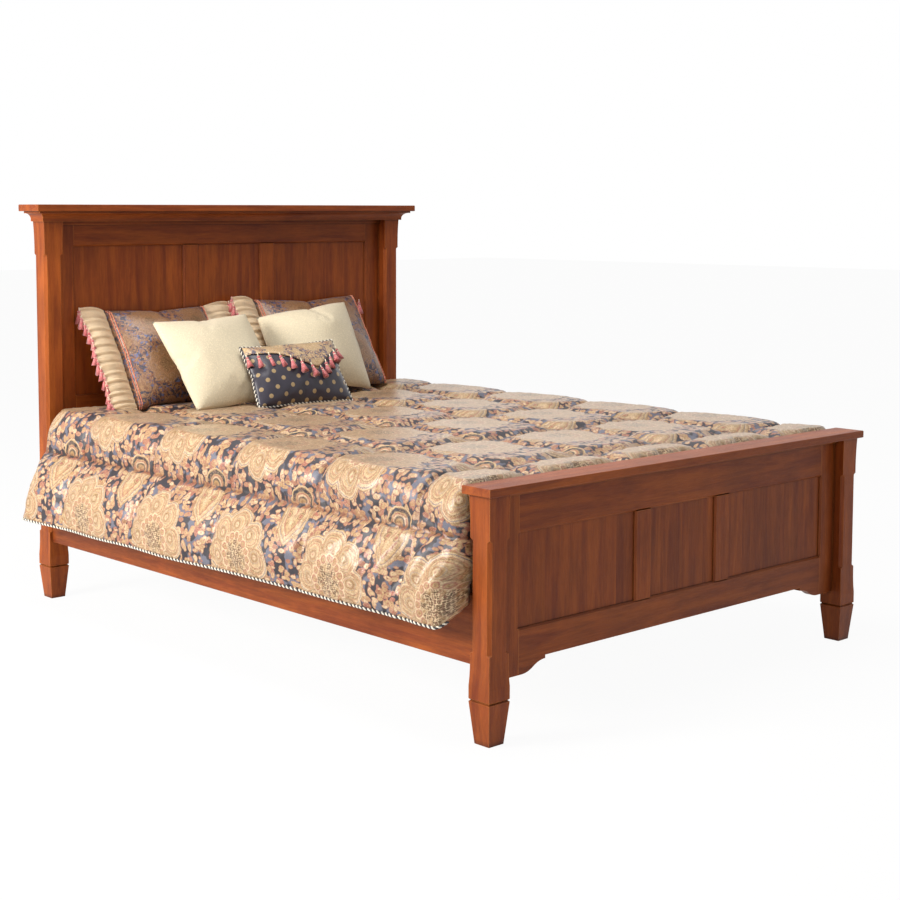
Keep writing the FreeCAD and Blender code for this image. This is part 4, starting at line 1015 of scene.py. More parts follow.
class PANEL_BED_OT_foundation(bpy.types.Operator):
    """Cover the box spring and the mattress, and bind their edges with tape"""
    bl_idname = "panel_bed.foundation"
    bl_label = "Box spring and mattress"

    def execute(self, context):
        covers = (("box_spring", "foundation_cloth", "foundation_cover", "C9C3B4", "A79F8C"),
                  ("mattress", "mattress_ticking", "mattress_cover", "EAE6DA", "9FA9B8"))
        edging = woven("edge_tape", linear("F0EDE4"), 1200, 0.8)
        for node, slot, name, pale, line in covers:
            cover = ticking(name, linear(pale), linear(line))
            low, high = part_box(node)
            skin = Vector((TAPE, TAPE, 0.0002))
            bm = rounded_block(low + skin, high - skin, CORNER - TAPE, EDGE)
            body = piece_of(node + "_cover", bm, [cover])
            dress(body, BED, slot, node)
            for place, up in (("lower", low.z + TAPE_IN), ("upper", high.z - TAPE_IN)):
                strip = tape(f"{node}_tape_{place}", low + skin, high - skin,
                             CORNER - TAPE, up, TAPE, edging)
                dress(strip, BED, slot)
        return {"FINISHED"}


# ---------------------------------------------------------------------- comforter

FOOT_GAP, HEAD_GAP = 0.004, 0.006   # from the ends of the CAD comforter
SEAM_DROP = 0.0148      # from the CAD comforter's top down to the seams
HEM_GAP = 0.002         # from its lower edge up to the hem
RAIL_GAP = 0.003        # from the side rail's face
SPLAY = (13.0, 20.5)    # slant of the hanging sides at the foot and at the head, degrees
FOOT_FALL = 0.03        # how far the top sinks at the foot end
HEM_LIFT = 0.06         # how far the hem rises as it turns in at the foot
TUCK = 0.024            # how far the foot end turns in past the rail's face
FOLDS = ((-0.60, 0.5), (-0.73, 0.8), (-0.85, 1.0), (-0.94, 0.9))   # place, strength
TOP_SPARE = 0.006       # how far the filling may stand over the CAD comforter


class Cover:
    """Where a point of the comforter lies: along the bed and across, from the middle.

    The cover is flat on top, rolls over a shoulder and hangs at a slant that opens
    towards the head.  Seams lie on this surface and the filling swells between them.
    """

    def __init__(self):
        self.look = settings("comforter")
        low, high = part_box("comforter")
        self.foot, self.head = low.y + FOOT_GAP, high.y - HEAD_GAP
        self.top = high.z - SEAM_DROP
        self.hem = low.z + HEM_GAP
        self.rail = abs(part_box("side_rail_left")[0].x) + RAIL_GAP
        self.rail_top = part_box("side_rail_left")[1].z
        self.step_along = self.look.pitch_along / self.look.cells
        self.step_across = self.look.pitch_across / self.look.cells
        self.splay_foot, self.splay_head = (math.radians(turn) for turn in SPLAY)
        side_seam = 2.5 * self.look.pitch_across
        shoulder_run = self.look.shoulder * (math.pi / 2 - self.splay_foot)
        hang = self.top - self.look.shoulder * (1 - math.sin(self.splay_foot)) - self.hem
        reach = self.look.flat_half + shoulder_run + hang / math.cos(self.splay_foot)
        rows = round((reach - side_seam) / self.step_across)
        self.half = side_seam + rows * self.step_across

    def round_foot(self, along):
        """Where a row of the cloth lies along the bed, and how far it has turned in.

        The last rows roll over a quarter turn and close the foot end.
        """
        radius = self.look.end_roll
        past = self.foot + radius - along
        if past <= 0:
            return along, 0.0
        turn = min(past / radius, math.pi / 2)
        return self.foot + radius * (1 - math.sin(turn)), 1 - math.cos(turn)

    def rows_along(self):
        """Places of the mesh rows along the bed; each cross seam has a row."""
        seam, step = self.look.seam_at, self.step_along
        start = self.foot - self.look.end_roll * (math.pi / 2 - 1)
        before = int((seam - start) / step - 0.3)
        after = int((self.head - seam) / step)
        return [start] + [seam + n * step for n in range(-before, after + 1)]

    def rows_across(self):
        count = round(self.half / self.step_across)
        return [n * self.step_across for n in range(-count, count + 1)]

    def shares(self, along, across):
        """How far a point is through its quilted panel, both ways, from 0 to 1."""
        u = (along - self.look.seam_at) / self.look.pitch_along
        v = abs(across) / self.look.pitch_across + 0.5
        return u - math.floor(u), v - math.floor(v)

    def place(self, along, across):
        """The seam surface and its outward direction."""
        look, side = self.look, math.copysign(1, across)
        run = abs(across)
        along, rolled = self.round_foot(along)
        through = (along - self.foot) / (self.head - self.foot)
        splay = self.splay_foot + (self.splay_head - self.splay_foot) * through ** 1.3
        bend = math.pi / 2 - splay
        near_foot = max(0.0, 1 - (along - self.foot) / 0.05)
        fall = FOOT_FALL * near_foot ** 2
        if run <= look.flat_half:
            x, drop, turn = run, 0.0, 0.0
        else:
            turn = min((run - look.flat_half) / look.shoulder, bend)
            x = look.flat_half + look.shoulder * math.sin(turn)
            drop = look.shoulder * (1 - math.cos(turn))
            rest = max(0.0, run - look.flat_half - look.shoulder * bend)
            # the drape is shorter where it slants less, so that the hem stays level
            full = self.half - look.flat_half - look.shoulder * bend
            fall_left = self.top - look.shoulder * (1 - math.cos(bend)) - self.hem
            down = fall_left * rest / full
            x += down * math.tan(splay)
            drop += down
        level = max(0.0, 1 - max(0.0, run - look.flat_half) / 0.15)
        z = self.top - drop - (fall + 0.02 * rolled) * level
        over_rail = min(1.0, max(0.0, (z - self.rail_top) / 0.04))
        x -= rolled * max(0.0, x - self.rail + TUCK * over_rail)
        z += rolled * HEM_LIFT * max(0.0, 1 - (z - self.hem) / 0.15)
        out = Vector((side * math.sin(turn), 0, math.cos(turn)))
        return Vector((side * x, along, z)), out

    def swell(self, along, across):
        """How far the filling stands out, as a share of the puff, and the puff itself."""
        look = self.look
        u, v = self.shares(along, across)
        side_seam = 2.5 * look.pitch_across
        hanging = abs(across) > side_seam
        if hanging:
            down = min(1.0, (abs(across) - side_seam) / (self.half - side_seam))
            across_share = math.sin(math.pi * (0.9 * down + 0.02)) ** 0.6
            puff = look.puff_side
        else:
            across_share = math.sin(math.pi * v) ** 0.55
            over = max(0.0, min(1.0, (abs(across) - 1.6 * look.pitch_across)
                                / (0.5 * look.pitch_across)))
            puff = look.puff_top + (look.puff_side - look.puff_top) * over
        along_share = math.sin(math.pi * u) ** 0.4 if 0 < u < 1 else 0.0
        if hanging:
            along_share = 0.55 + 0.45 * along_share
        ends = min(1.0, (self.head - along) / 0.05)
        return max(0.0, across_share * along_share * math.sqrt(max(0.0, ends))), puff

    def folds(self, along, across):
        """Slanting folds in the lower roll near the foot, and its rolled end."""
        side_seam = 2.5 * self.look.pitch_across
        run = abs(across) - side_seam
        if run < 0:
            return 0.0
        down = run / (self.half - side_seam)
        out = 0.0
        for start, strength in FOLDS:
            gap = along - start + 0.11 * (1 - down)
            out += strength * 0.012 * math.exp(-(gap / 0.022) ** 2)
            out -= strength * 0.009 * math.exp(-((gap - 0.045) / 0.02) ** 2)
        fade = math.sin(math.pi * min(1.0, down + 0.12)) ** 0.7 if down < 0.88 else 0.35
        pinch = (math.exp(-((along - self.foot) / 0.05) ** 2)
                 * math.exp(-((down - 0.25) / 0.14) ** 2))
        return out * max(fade, 0.25) - 0.02 * pinch


def quilt_mesh(cover):
    """The comforter's outer cloth, with its map in metres and a share of painted shade at its
    seams.
    """
    along, across = cover.rows_along(), cover.rows_across()
    bm = bmesh.new()
    uv = bm.loops.layers.uv.new("UVMap")
    hollow = bm.verts.layers.float.new("hollow")
    bmesh.ops.create_grid(bm, x_segments=len(along) - 1, y_segments=len(across) - 1,
                          size=0.5)
    spots = {}
    for v in bm.verts:
        spots[v] = (along[round((v.co.x + 0.5) * (len(along) - 1))],
                    across[round((v.co.y + 0.5) * (len(across) - 1))])
    for face in bm.faces:
        for loop in face.loops:
            loop[uv].uv = spots[loop.vert]
    for v in bm.verts:
        a, c = spots[v]
        base, out = cover.place(a, c)
        share, puff = cover.swell(a, c)
        wave = 0.010 * noise.noise(Vector((a * 2.3, abs(c) * 2, 0.3 if c > 0 else 5.1)))
        hang = max(0.0, (abs(c) - 0.8) / 0.3)
        standing = 1 - cover.round_foot(a)[1]
        v.co = base + out * (share * puff + cover.folds(a, c) + wave * hang) * standing
        v.co.z += 0.008 * hang ** 2 * noise.noise(Vector((a * 3.1, c, 2.2)))
        # painted seam shade: 1 at a seam, falling to 0 where the filling swells
        v[hollow] = max(0.0, 1 - 3.2 * share)
    bm.verts.index_update()
    sewn = [v.index for v in bm.verts if v.is_boundary or on_seam(cover, *spots[v])]
    bmesh.ops.recalc_face_normals(bm, faces=bm.faces)
    if max(bm.faces, key=lambda f: f.calc_center_median().z).normal.z < 0:
        bmesh.ops.reverse_faces(bm, faces=bm.faces)
    return bm, sewn


def on_seam(cover, along, across):
    u, v = cover.shares(along, across)
    return min(u, 1 - u) < 0.01 or min(v, 1 - v) < 0.01


def hem_line(piece, cover, side):
    """The lower edge of the cover on one side, from foot to head."""
    rows = {}
    for point in [v.co.copy() for v in piece.data.vertices
                  if v.co.x * side > 0.8 and v.co.z < cover.hem + 0.03]:
        key = round(point.y / cover.step_along)
        if key not in rows or point.z < rows[key].z:
            rows[key] = point
    return [rows[key] for key in sorted(rows)]


class PANEL_BED_OT_comforter(bpy.types.Operator):
    """Sew and fill the comforter, and cord its hem"""
    bl_idname = "panel_bed.comforter"
    bl_label = "Comforter"

    def execute(self, context):
        look = settings("comforter")
        cover = Cover()
        bm, sewn = quilt_mesh(cover)
        threads = {key: fixed(getattr(look, key)) for key in THREADS}
        column = look.seam_at + look.column_shift
        cloth = satin("comforter_damask", (column, 0.5 * look.pitch_across), threads,
                      (look.pitch_along, look.pitch_across), mirrored=True, seam_shade_strength=0.8)
        piece = piece_of("comforter_cover", bm, [cloth])
        group = piece.vertex_groups.new(name="sewn")
        group.add(sewn, 1.0, "REPLACE")
        flat = [v.co.copy() for v in piece.data.vertices]
        inflate(piece, 12, 1.5, "sewn", -0.035)
        limit_travel(piece, flat, 0.012)
        limit_top(piece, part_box("comforter")[1].z + TOP_SPARE)
        solid = piece.modifiers.new("filling", "SOLIDIFY")
        solid.thickness = look.wall
        solid.offset = -1
        dress(piece, BED, "comforter_cloth", "comforter")
        yarns = striped_yarns("hem")
        for name, side in SIDES.items():
            line = hem_line(piece, cover, side)
            cord = twisted_cord(f"comforter_cord_{name}", line, look.cord, TWIST["hem"],
                                yarns)
            dress(cord, BED, "comforter_cloth")
        return {"FINISHED"}


def limit_travel(piece, start, limit):
    """Hold each point within a distance of where it began."""
    for vertex, begin in zip(piece.data.vertices, start):
        moved = vertex.co - begin
        if moved.length > limit:
            vertex.co = begin + moved * (limit / moved.length)


def limit_top(piece, height):
    """Press the cover down to a height."""
    for vertex in piece.data.vertices:
        if vertex.co.z > height:
            vertex.co.z = height


# ------------------------------------------------------------------------ pillows

PILLOWS = {
    # width, height, thickness, lean and turn in degrees, droop, curl, filling pressure
    "sham_left": (0.64, 0.40, 0.17, 32, 0, 0.0, 0.0, 7),
    "sham_right": (0.64, 0.40, 0.17, 32, 0, 0.0, 0.0, 7),
    "cream_pillow_right": (0.43, 0.373, 0.14, 28, -2, 0.048, 0.06, 6.5),
    "cream_pillow_left": (0.43, 0.405, 0.14, 41, 3, 0.015, 0.0, 6),
    "accent_pillow": (0.395, 0.25, 0.105, 32, -5, 0.01, 0.0, 7),
}


class Pillow:
    """A pillow's size and pose, about the middle of its CAD node's box."""

    def __init__(self, node):
        self.node = node
        (self.width, self.tall, self.thick, lean, turn, self.droop, self.curl,
         self.pressure) = PILLOWS[node]
        low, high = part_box(node)
        centre = (low + high) / 2
        spin = Matrix.Rotation(math.radians(turn), 4, "Z")
        tilt = Matrix.Rotation(-math.radians(lean), 4, "X")
        self.matrix = Matrix.Translation(centre) @ spin @ tilt

    def lay(self, piece):
        """Slump the cover's corners and put it where its CAD node is."""
        data = piece.data
        for v in data.vertices:
            v.co = self.slumped(v.co)
        data.transform(self.matrix)
        low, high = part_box(self.node)
        middle = Vector((min(v.co[k] for v in data.vertices)
                         + max(v.co[k] for v in data.vertices)) / 2 for k in range(3))
        step = Matrix.Translation((low + high) / 2 - middle)
        data.transform(step)
        self.matrix = step @ self.matrix

    def slumped(self, point):
        """A point of the stiff pillow after its ends curl and a top corner droops."""
        across, up = point.x / self.width, point.z / self.tall
        return Vector((point.x, point.y + self.curl * 2 * (2 * across) ** 2 / 3,
                       point.z - self.droop * (0.5 - across) * (0.5 + up)))

    def bent(self, point):
        """Where a point of the stiff pillow lies in the bed's frame."""
        return self.matrix @ self.slumped(point)


def pillow_mesh(width, tall, step):
    """Two sheets sewn together round their edge, before filling."""
    bm = bmesh.new()
    uv = bm.loops.layers.uv.new("UVMap")
    across, up = round(width / step), round(tall / step)
    bmesh.ops.create_grid(bm, x_segments=across, y_segments=up, size=0.5)
    for v in bm.verts:
        v.co = Vector((v.co.x * width, 0, v.co.y * tall))
    for face in bm.faces:
        face.normal_flip()
        for loop in face.loops:
            loop[uv].uv = (loop.vert.co.x, loop.vert.co.z)
    bmesh.ops.recalc_face_normals(bm, faces=bm.faces)
    front = list(bm.faces)
    copied = bmesh.ops.duplicate(bm, geom=bm.faces[:])
    back = [g for g in copied["geom"] if isinstance(g, bmesh.types.BMFace)]
    if front[0].normal.y > 0:
        front, back = back, front
    bmesh.ops.reverse_faces(bm, faces=back)
    for face in front:
        if face.normal.y > 0:
            face.normal_flip()
    for face in back:
        if face.normal.y < 0:
            face.normal_flip()
    bmesh.ops.remove_doubles(bm, verts=[v for v in bm.verts if v.is_boundary], dist=1e-5)
    return bm


PILLOW_STEP = 0.0115    # mesh size of a pillow
SMALL_STEP = 0.009      # and of the small one
EDGE_CORD = 0.008       # diameter of the small pillow's cord
FILL_FRAMES = 22        # steps of the filling
LOOSENESS = -0.06       # how much larger than its outline the cloth is cut
DRAW_IN = 0.32          # share of the edge's draw-in that is kept
SEAM_SPARE = 1.02       # cloth cut past the finished size


def fill_pillow(pillow, width, materials, step=PILLOW_STEP):
    """A filled cover in its own place: x across, y through, z up, about its middle."""
    bm = pillow_mesh(width * SEAM_SPARE, pillow.tall * SEAM_SPARE, step)
    half_w, half_t = width / 2, pillow.tall / 2
    for v in bm.verts:
        if v.is_boundary:
            continue
        across = min(1.0, abs(v.co.x) / half_w)
        up = min(1.0, abs(v.co.z) / half_t)
        crown = math.sqrt(max(0.0, (1 - across ** 2.4) * (1 - up ** 2.4)))
        facing = -1 if v.link_faces and v.link_faces[0].normal.y < 0 else 1
        ring = len({round(f.normal.y) for f in v.link_faces}) > 1
        v.co.y = 0 if ring else facing * (0.003 + crown * pillow.thick / 2 * 0.8)
    piece = piece_of(pillow.node + "_cover", bm, materials)
    flat = [v.co.copy() for v in piece.data.vertices]
    inflate(piece, FILL_FRAMES, pillow.pressure, None, LOOSENESS, 12.0)
    data = piece.data
    for vertex, begin in zip(data.vertices, flat):
        vertex.co.x = begin.x + (vertex.co.x - begin.x) * DRAW_IN
        vertex.co.z = begin.z + (vertex.co.z - begin.z) * DRAW_IN
    spread = [max(v.co[k] for v in piece.data.vertices)
              - min(v.co[k] for v in piece.data.vertices) for k in range(3)]
    fit = (width / spread[0], pillow.thick / spread[1], pillow.tall / spread[2])
    for vertex in piece.data.vertices:
        vertex.co = Vector(c * f for c, f in zip(vertex.co, fit))
    return piece


def settle(piece, carriers, floor_tree, wall=None, gap=0.0012):
    """Press a pillow against what it leans on and rests on."""
    data = piece.data
    for vertex in data.vertices:
        point = vertex.co
        limit = wall
        for carrier in carriers:
            hit = carrier.ray_cast(Vector((point.x, point.y - 1.0, point.z)),
                                   Vector((0, 1, 0)))[0]
            if hit is not None and (limit is None or hit.y - gap < limit):
                limit = hit.y - gap
        if limit is not None and point.y > limit:
            point.y = limit
        hit = floor_tree.ray_cast(Vector((point.x, point.y, point.z + 0.5)),
                                  Vector((0, 0, -1)))[0]
        if hit is not None and point.z < hit.z + gap:
            point.z = hit.z + gap
    data.update()


def tassel(bm, at, size, lean, chance):
    """One tassel: a looped head, a bound neck and a skirt of yarn, hanging down."""
    tilt = Matrix.Rotation(lean[0], 4, "X") @ Matrix.Rotation(lean[1], 4, "Y")
    place = Matrix.Translation(at) @ tilt

    def below(share):
        return place @ Matrix.Translation((0, 0, -size * share))

    def cone(sides, foot, tip, tall, share):
        made = bmesh.ops.create_cone(bm, cap_ends=True, segments=sides, radius1=size * foot,
                                     radius2=size * tip, depth=size * tall,
                                     matrix=below(share))
        return made["verts"]

    for v in cone(9, 0.25, 0.09, 0.62, 0.69):
        local = place.inverted() @ v.co
        if local.z < -size * 0.9:
            pull = 1 + 0.22 * chance.uniform(-1, 1)
            local.x *= pull
            local.y *= pull
            local.z += size * 0.08 * chance.uniform(-1, 1)
            v.co = place @ local
    bmesh.ops.create_icosphere(bm, subdivisions=1, radius=size * 0.13, matrix=below(0.3))
    for trimming in (cone(7, 0.1, 0.1, 0.06, 0.4), cone(5, 0.045, 0.03, 0.24, 0.1)):
        for face in {f for v in trimming for f in v.link_faces}:
            face.material_index = 1


def hang_tassels(name, points, size, body, slot, seed, materials, lean=(0.0, 0.0)):
    """A row of tassels at points of an edge."""
    chance = random.Random(seed)
    bm = bmesh.new()
    for point in points:
        swing = (lean[0] + chance.uniform(-0.18, 0.18), lean[1] + chance.uniform(-0.2, 0.2))
        tassel(bm, point, size * chance.uniform(0.9, 1.12), swing, chance)
    bmesh.ops.recalc_face_normals(bm, faces=bm.faces)
    piece = piece_of(name, bm, materials)
    return dress(piece, body, slot)


def front_point(tree, pillow, x, z, lift=0.0):
    """A point on a pillow's front, from its own coordinates."""
    start = pillow.bent(Vector((x, -0.6, z)))
    ahead = (pillow.matrix.to_3x3() @ Vector((0, 1, 0))).normalized()
    hit = tree.ray_cast(start, ahead)[0]
    if hit is None:
        hit = pillow.bent(Vector((x, 0, z)))
    return hit - ahead * lift


FLOUNCES = {"left": (0.105, 0.105), "right": (0.105, 0.035)}    # left and right end
FOLDED_BACK = 0.06  # a gathered end that shows less than this is folded behind
PLEATS = 15
RUFFLE_ROWS = (0.0, 0.06, 0.16, 0.3, 0.46, 0.62, 0.78, 0.9, 1.0)  # from seam to edge
END_TASSELS = 15    # on one gathered end
FLAP = ((-1.0, 0.034), (-0.45, 0.05), (0.33, 0.125), (1.0, 0.03))   # place, depth


def flounce_point(point, side, wide, share):
    """A point of a gathered end, from its seam (share 0) to its edge (share 1)."""
    short = wide < FOLDED_BACK
    back = 0.055 * share if short else -0.022 * math.sin(math.pi * min(1, share * 0.85))
    wave = 1 + 0.05 * math.sin(40 * point.z + 1.2)
    return Vector((point.x + side * wide * share * wave, point.y + back,
                   point.z * (1 + 0.03 * share)))


def flounce_rows(edge, side, wide):
    """Rows of points of a gathered end, from the seam outwards, in pillow coordinates."""
    rows = []
    for share in RUFFLE_ROWS:
        row = []
        for i, point in enumerate(edge):
            t = i / (len(edge) - 1)
            ruffle = (math.sin(2 * math.pi * PLEATS * t + 2.1 * math.sin(5.0 * t))
                      + 0.5 * math.sin(2 * math.pi * PLEATS * 1.7 * t + 1.3 + 2 * share))
            spot = flounce_point(point, side, wide, share)
            spot.y += ruffle * (0.0011 + 0.0030 * share ** 0.7)
            row.append(spot)
        rows.append(row)
    return rows


class PANEL_BED_OT_shams(bpy.types.Operator):
    """Fill the two shams, gather their ends and trim them with braid and tassels"""
    bl_idname = "panel_bed.shams"
    bl_label = "Shams"

    def execute(self, context):
        look = settings("pillows")
        threads = threads_of("302E3E", "545A7C", "69482B", "8A6443", "A37F58", "6E3A2A")
        cloth = satin("sham_damask", (0.02, 0.03), threads, (0.205, 0.18), warp=0.011)
        gathered = woven("flounce_cloth", fixed(look.flounce), 900, 0.5, 0.0004, 0.08, 0.05,
                         60)
        red = yarn("braid_red", linear("C04F38"))
        pale = yarn("braid_ivory", linear("DF9D78"))
        strands = yarn("tassel_yarn", fixed(look.brick), fixed(look.blush))
        knots = yarn("tassel_knots", fixed(look.ivory), fixed(look.blush))
        floor_tree = tree_of("comforter_cover")
        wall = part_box("headboard_top_rail")[0].y - 0.001
        for name in SIDES:
            node = "sham_" + name
            pillow = Pillow(node)
            ends = dict(zip((-1, 1), FLOUNCES[name]))
            body_width = pillow.width - sum(ends.values())
            piece = fill_pillow(pillow, body_width, [cloth, gathered])
            shift = Matrix.Translation(((ends[-1] - ends[1]) / 2, 0, 0))
            seams = {side: [shift @ p for p in edge]
                     for side, edge in self.side_edges(piece, body_width).items()}
            piece.data.transform(shift)
            for side, edge in seams.items():
                self.sew_flounce(piece, edge, side, ends[side])
            pillow.lay(piece)
            settle(piece, [], floor_tree, wall)
            dress(piece, node, "sham_cloth", node)
            tree = tree_of(piece.name)
            for side, edge in seams.items():
                self.trim(pillow, tree, node, side, edge, ends[side], (red, pale),
                          (strands, knots), look)
        return {"FINISHED"}

    def side_edges(self, piece, width):
        """The two end seams of the filled body, each from bottom to top."""
        data = piece.data
        ends = {}
        for side in (-1, 1):
            column = [v for v in data.vertices if abs(v.co.y) < 0.01
                      and v.co.x * side > width * 0.36]
            by_height = {}
            for v in column:
                key = round(v.co.z / 0.009)
                if key not in by_height or v.co.x * side > by_height[key].x * side:
                    by_height[key] = v.co.copy()
            line = [by_height[key] for key in sorted(by_height)]
            ends[side] = smooth_line(line, PLEATS * 8 + 1)
        return ends

    def sew_flounce(self, piece, edge, side, wide):
        """Add a gathered end to the sham's mesh."""
        rows = flounce_rows(edge, side, wide)
        bm = bmesh.new()
        bm.from_mesh(piece.data)
        uv = bm.loops.layers.uv["UVMap"]
        grid = [[bm.verts.new(p) for p in row] for row in rows]
        bm.verts.ensure_lookup_table()
        faces = []
        for near, far in zip(grid, grid[1:]):
            for i in range(len(near) - 1):
                corners = (near[i], near[i + 1], far[i + 1], far[i])
                faces.append(bm.faces.new(corners if side < 0 else corners[::-1]))
        for face in faces:
            face.material_index = 1
            face.smooth = True
            for loop in face.loops:
                loop[uv].uv = (loop.vert.co.x, loop.vert.co.z)
        wall = bmesh.ops.solidify(bm, geom=faces, thickness=0.002)
        shell = {g for g in wall["geom"] if isinstance(g, bmesh.types.BMFace)} | set(faces)
        for face in shell:
            face.material_index = 1
            face.smooth = True
        bmesh.ops.recalc_face_normals(bm, faces=list(shell))
        bm.to_mesh(piece.data)
        bm.free()

    def trim(self, pillow, tree, node, side, edge, wide, cords, tassels, look):
        """The double braid on the seam and the fringe on the outer edge."""
        word = "left" if side < 0 else "right"
        seam = [edge[int(i * (len(edge) - 1) / 24)] for i in range(25)]
        for number, inset in enumerate((0.008, 0.0145)):
            line = [front_point(tree, pillow, point.x - side * inset, point.z * 0.985, 0.0015)
                    for point in seam]
            cord = twisted_cord(f"{node}_braid_{word}_{number + 1}", line, look.braid,
                                TWIST["braid"], list(cords))
            dress(cord, node, "sham_cloth")
        outer = [flounce_point(p, side, wide, 0.98) for p in edge]
        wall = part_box("headboard_top_rail")[0].y - 0.3 * look.tassel
        spots = [pillow.matrix @ p + Vector((side * 0.002, -0.008, 0.004))
                 for p in spaced(outer, END_TASSELS)]
        fringe = [pillow.matrix @ p + Vector((0, -0.004, 0)) for p in spaced(outer, 60)]
        for point in spots + fringe:
            point.y = min(point.y, wall)
        hang_tassels(f"{node}_tassels_{word}", spots, look.tassel, node, "sham_cloth",
                     31 + side, list(tassels))
        cord = twisted_cord(f"{node}_fringe_{word}", fringe, look.braid * 1.1,
                            TWIST["fringe"],
                            [tassels[1], tassels[0]])
        dress(cord, node, "sham_cloth")


class PANEL_BED_OT_cream_pillows(bpy.types.Operator):
    """Fill the two square cream pillows"""
    bl_idname = "panel_bed.cream_pillows"
    bl_label = "Cream pillows"

    def execute(self, context):
        look = settings("pillows")
        cloth = stamped_cloth("cream_cloth", fixed(look.cream))
        floor_tree = tree_of("comforter_cover")
        behind = [tree_of(f"sham_{side}_cover") for side in SIDES]
        for node in ("cream_pillow_right", "cream_pillow_left"):
            pillow = Pillow(node)
            piece = fill_pillow(pillow, pillow.width, [cloth])
            pillow.lay(piece)
            settle(piece, behind, floor_tree)
            behind.append(tree_of(piece.name))
            dress(piece, node, "cream_cloth", node)
        return {"FINISHED"}


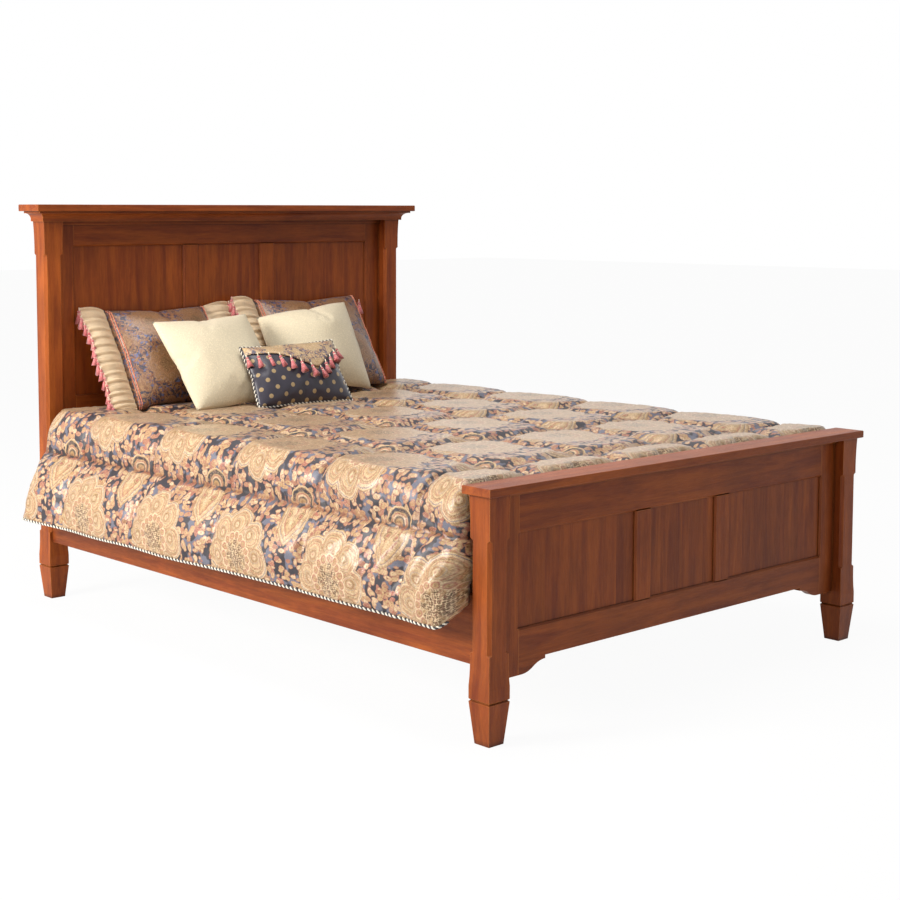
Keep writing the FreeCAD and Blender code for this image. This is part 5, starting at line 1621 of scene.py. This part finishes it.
class PANEL_BED_OT_accent_pillow(bpy.types.Operator):
    """Fill the small dark pillow and add its flap, tassels and cord"""
    bl_idname = "panel_bed.accent_pillow"
    bl_label = "Small pillow"

    def execute(self, context):
        look = settings("pillows")
        node = "accent_pillow"
        pillow = Pillow(node)
        night = spotted_satin("night_satin", fixed(look.night), linear("A08862"))
        piece = fill_pillow(pillow, pillow.width, [night], SMALL_STEP)
        rim = self.rim_points(piece, pillow)
        pillow.lay(piece)
        floor_tree = tree_of("comforter_cover")
        behind = [tree_of(f"cream_pillow_{side}_cover") for side in SIDES]
        settle(piece, behind, floor_tree)
        dress(piece, node, "accent_cloth", node)
        tree = tree_of(piece.name)
        lower = self.flap(pillow, tree)
        strands = yarn("flap_tassel_yarn", fixed(look.brick), fixed(look.blush))
        knots = yarn("flap_tassel_knots", fixed(look.ivory))
        spots = spaced(lower, 12)
        ahead = pillow.matrix.to_3x3() @ Vector((0, -1, 0))
        spots = [p + ahead * 0.006 for p in spots]
        hang_tassels(node + "_tassels", spots, look.tassel, node, "accent_cloth", 9,
                     [strands, knots], lean=(-math.radians(32), 0))
        edge = [piece.data.vertices[index].co.copy() for index in rim]
        cord = twisted_cord(node + "_cord", edge + edge[:1], EDGE_CORD, TWIST["edge"],
                            striped_yarns("cord"), closed=True)
        dress(cord, node, "accent_cloth")
        return {"FINISHED"}

    def rim_points(self, piece, pillow):
        """Vertices of the pillow's outer seam, all the way round."""
        count = 72
        points = []
        for number in range(count):
            turn = 2 * math.pi * number / count
            way = Vector((math.cos(turn) * pillow.width, 0, math.sin(turn) * pillow.tall))
            way.normalize()
            best = max((v for v in piece.data.vertices if abs(v.co.y) < 0.012),
                       key=lambda v: Vector((v.co.x, 0, v.co.z)).dot(way)
                       - 3.0 * abs(v.co.x * way.z - v.co.z * way.x))
            if best.index not in points:
                points.append(best.index)
        return points

    def depth(self, place):
        """How deep the flap hangs at a place from -1, left, to 1, right."""
        for (start, high), (end, low) in zip(FLAP, FLAP[1:]):
            if place <= end:
                return high + (low - high) * max(0.0, place - start) / (end - start)
        return FLAP[-1][1]

    def flap(self, pillow, tree):
        """A pointed flap of damask over the upper part; returns its lower edge."""
        across, down = 28, 12
        half = pillow.width / 2 * 0.97
        top = pillow.tall / 2 - 0.004
        bm = bmesh.new()
        uv = bm.loops.layers.uv.new("UVMap")
        bmesh.ops.create_grid(bm, x_segments=across, y_segments=down, size=0.5)
        lower = []
        spots = {}
        for v in bm.verts:
            x, share = v.co.x * 2 * half, 0.5 - v.co.y
            spots[v] = (x, top - share * self.depth(x / half), share)
        for face in bm.faces:
            for loop in face.loops:
                loop[uv].uv = spots[loop.vert][:2]
        for v in bm.verts:
            x, z, share = spots[v]
            v.co = front_point(tree, pillow, x, z, 0.0032 + 0.002 * share)
            if share > 0.999:
                lower.append((x, v.co.copy()))
        bmesh.ops.recalc_face_normals(bm, faces=bm.faces)
        if bm.faces[:][0].normal.y > 0:
            bmesh.ops.reverse_faces(bm, faces=bm.faces)
        threads = threads_of("4A4250", "6C6A7C", "B08A58", "CDAF7E", "DCC39A", "96604C")
        cloth = satin("flap_damask", (0.0, 0.05), threads, (0.15, 0.13), warp=0.009)
        piece = piece_of("accent_pillow_flap", bm, [cloth])
        solid = piece.modifiers.new("cloth", "SOLIDIFY")
        solid.thickness = 0.002
        solid.offset = -1
        dress(piece, "accent_pillow", "accent_cloth")
        return [row[1] for row in sorted(lower, key=lambda row: row[0])]


# ------------------------------------------------------------------------ add-on

class PANEL_BED_PT_sidebar(bpy.types.Panel):
    """Steps and settings of the panel bed"""
    bl_idname = "PANEL_BED_PT_sidebar"
    bl_label = "Panel bed"
    bl_space_type = "VIEW_3D"
    bl_region_type = "UI"
    bl_category = "Panel bed"

    def draw(self, context):
        for step in STEPS:
            self.layout.operator("panel_bed." + step)
        for name, group in GROUPS.items():
            box = self.layout.box()
            box.label(text=group.__doc__)
            for key in group.__annotations__:
                box.prop(settings(name), key)


GROUPS = {"stage": BedStage, "timber": BedTimber, "comforter": BedComforter,
          "pillows": BedPillows}
STEPS = ("stage", "timber", "hardware", "foundation", "comforter", "shams",
         "cream_pillows", "accent_pillow")
CLASSES = (*GROUPS.values(), PANEL_BED_OT_stage, PANEL_BED_OT_timber,
           PANEL_BED_OT_hardware, PANEL_BED_OT_foundation, PANEL_BED_OT_comforter,
           PANEL_BED_OT_shams, PANEL_BED_OT_cream_pillows, PANEL_BED_OT_accent_pillow,
           PANEL_BED_PT_sidebar)


def register():
    for kind in CLASSES:
        bpy.utils.register_class(kind)
    for name, group in GROUPS.items():
        setattr(bpy.types.Scene, "panel_bed_" + name, PointerProperty(type=group))


def unregister():
    for name in GROUPS:
        delattr(bpy.types.Scene, "panel_bed_" + name)
    for kind in reversed(CLASSES):
        bpy.utils.unregister_class(kind)


def main():
    register()
    for step in STEPS:
        getattr(bpy.ops.panel_bed, step)()


if __name__ == "__main__":
    main()
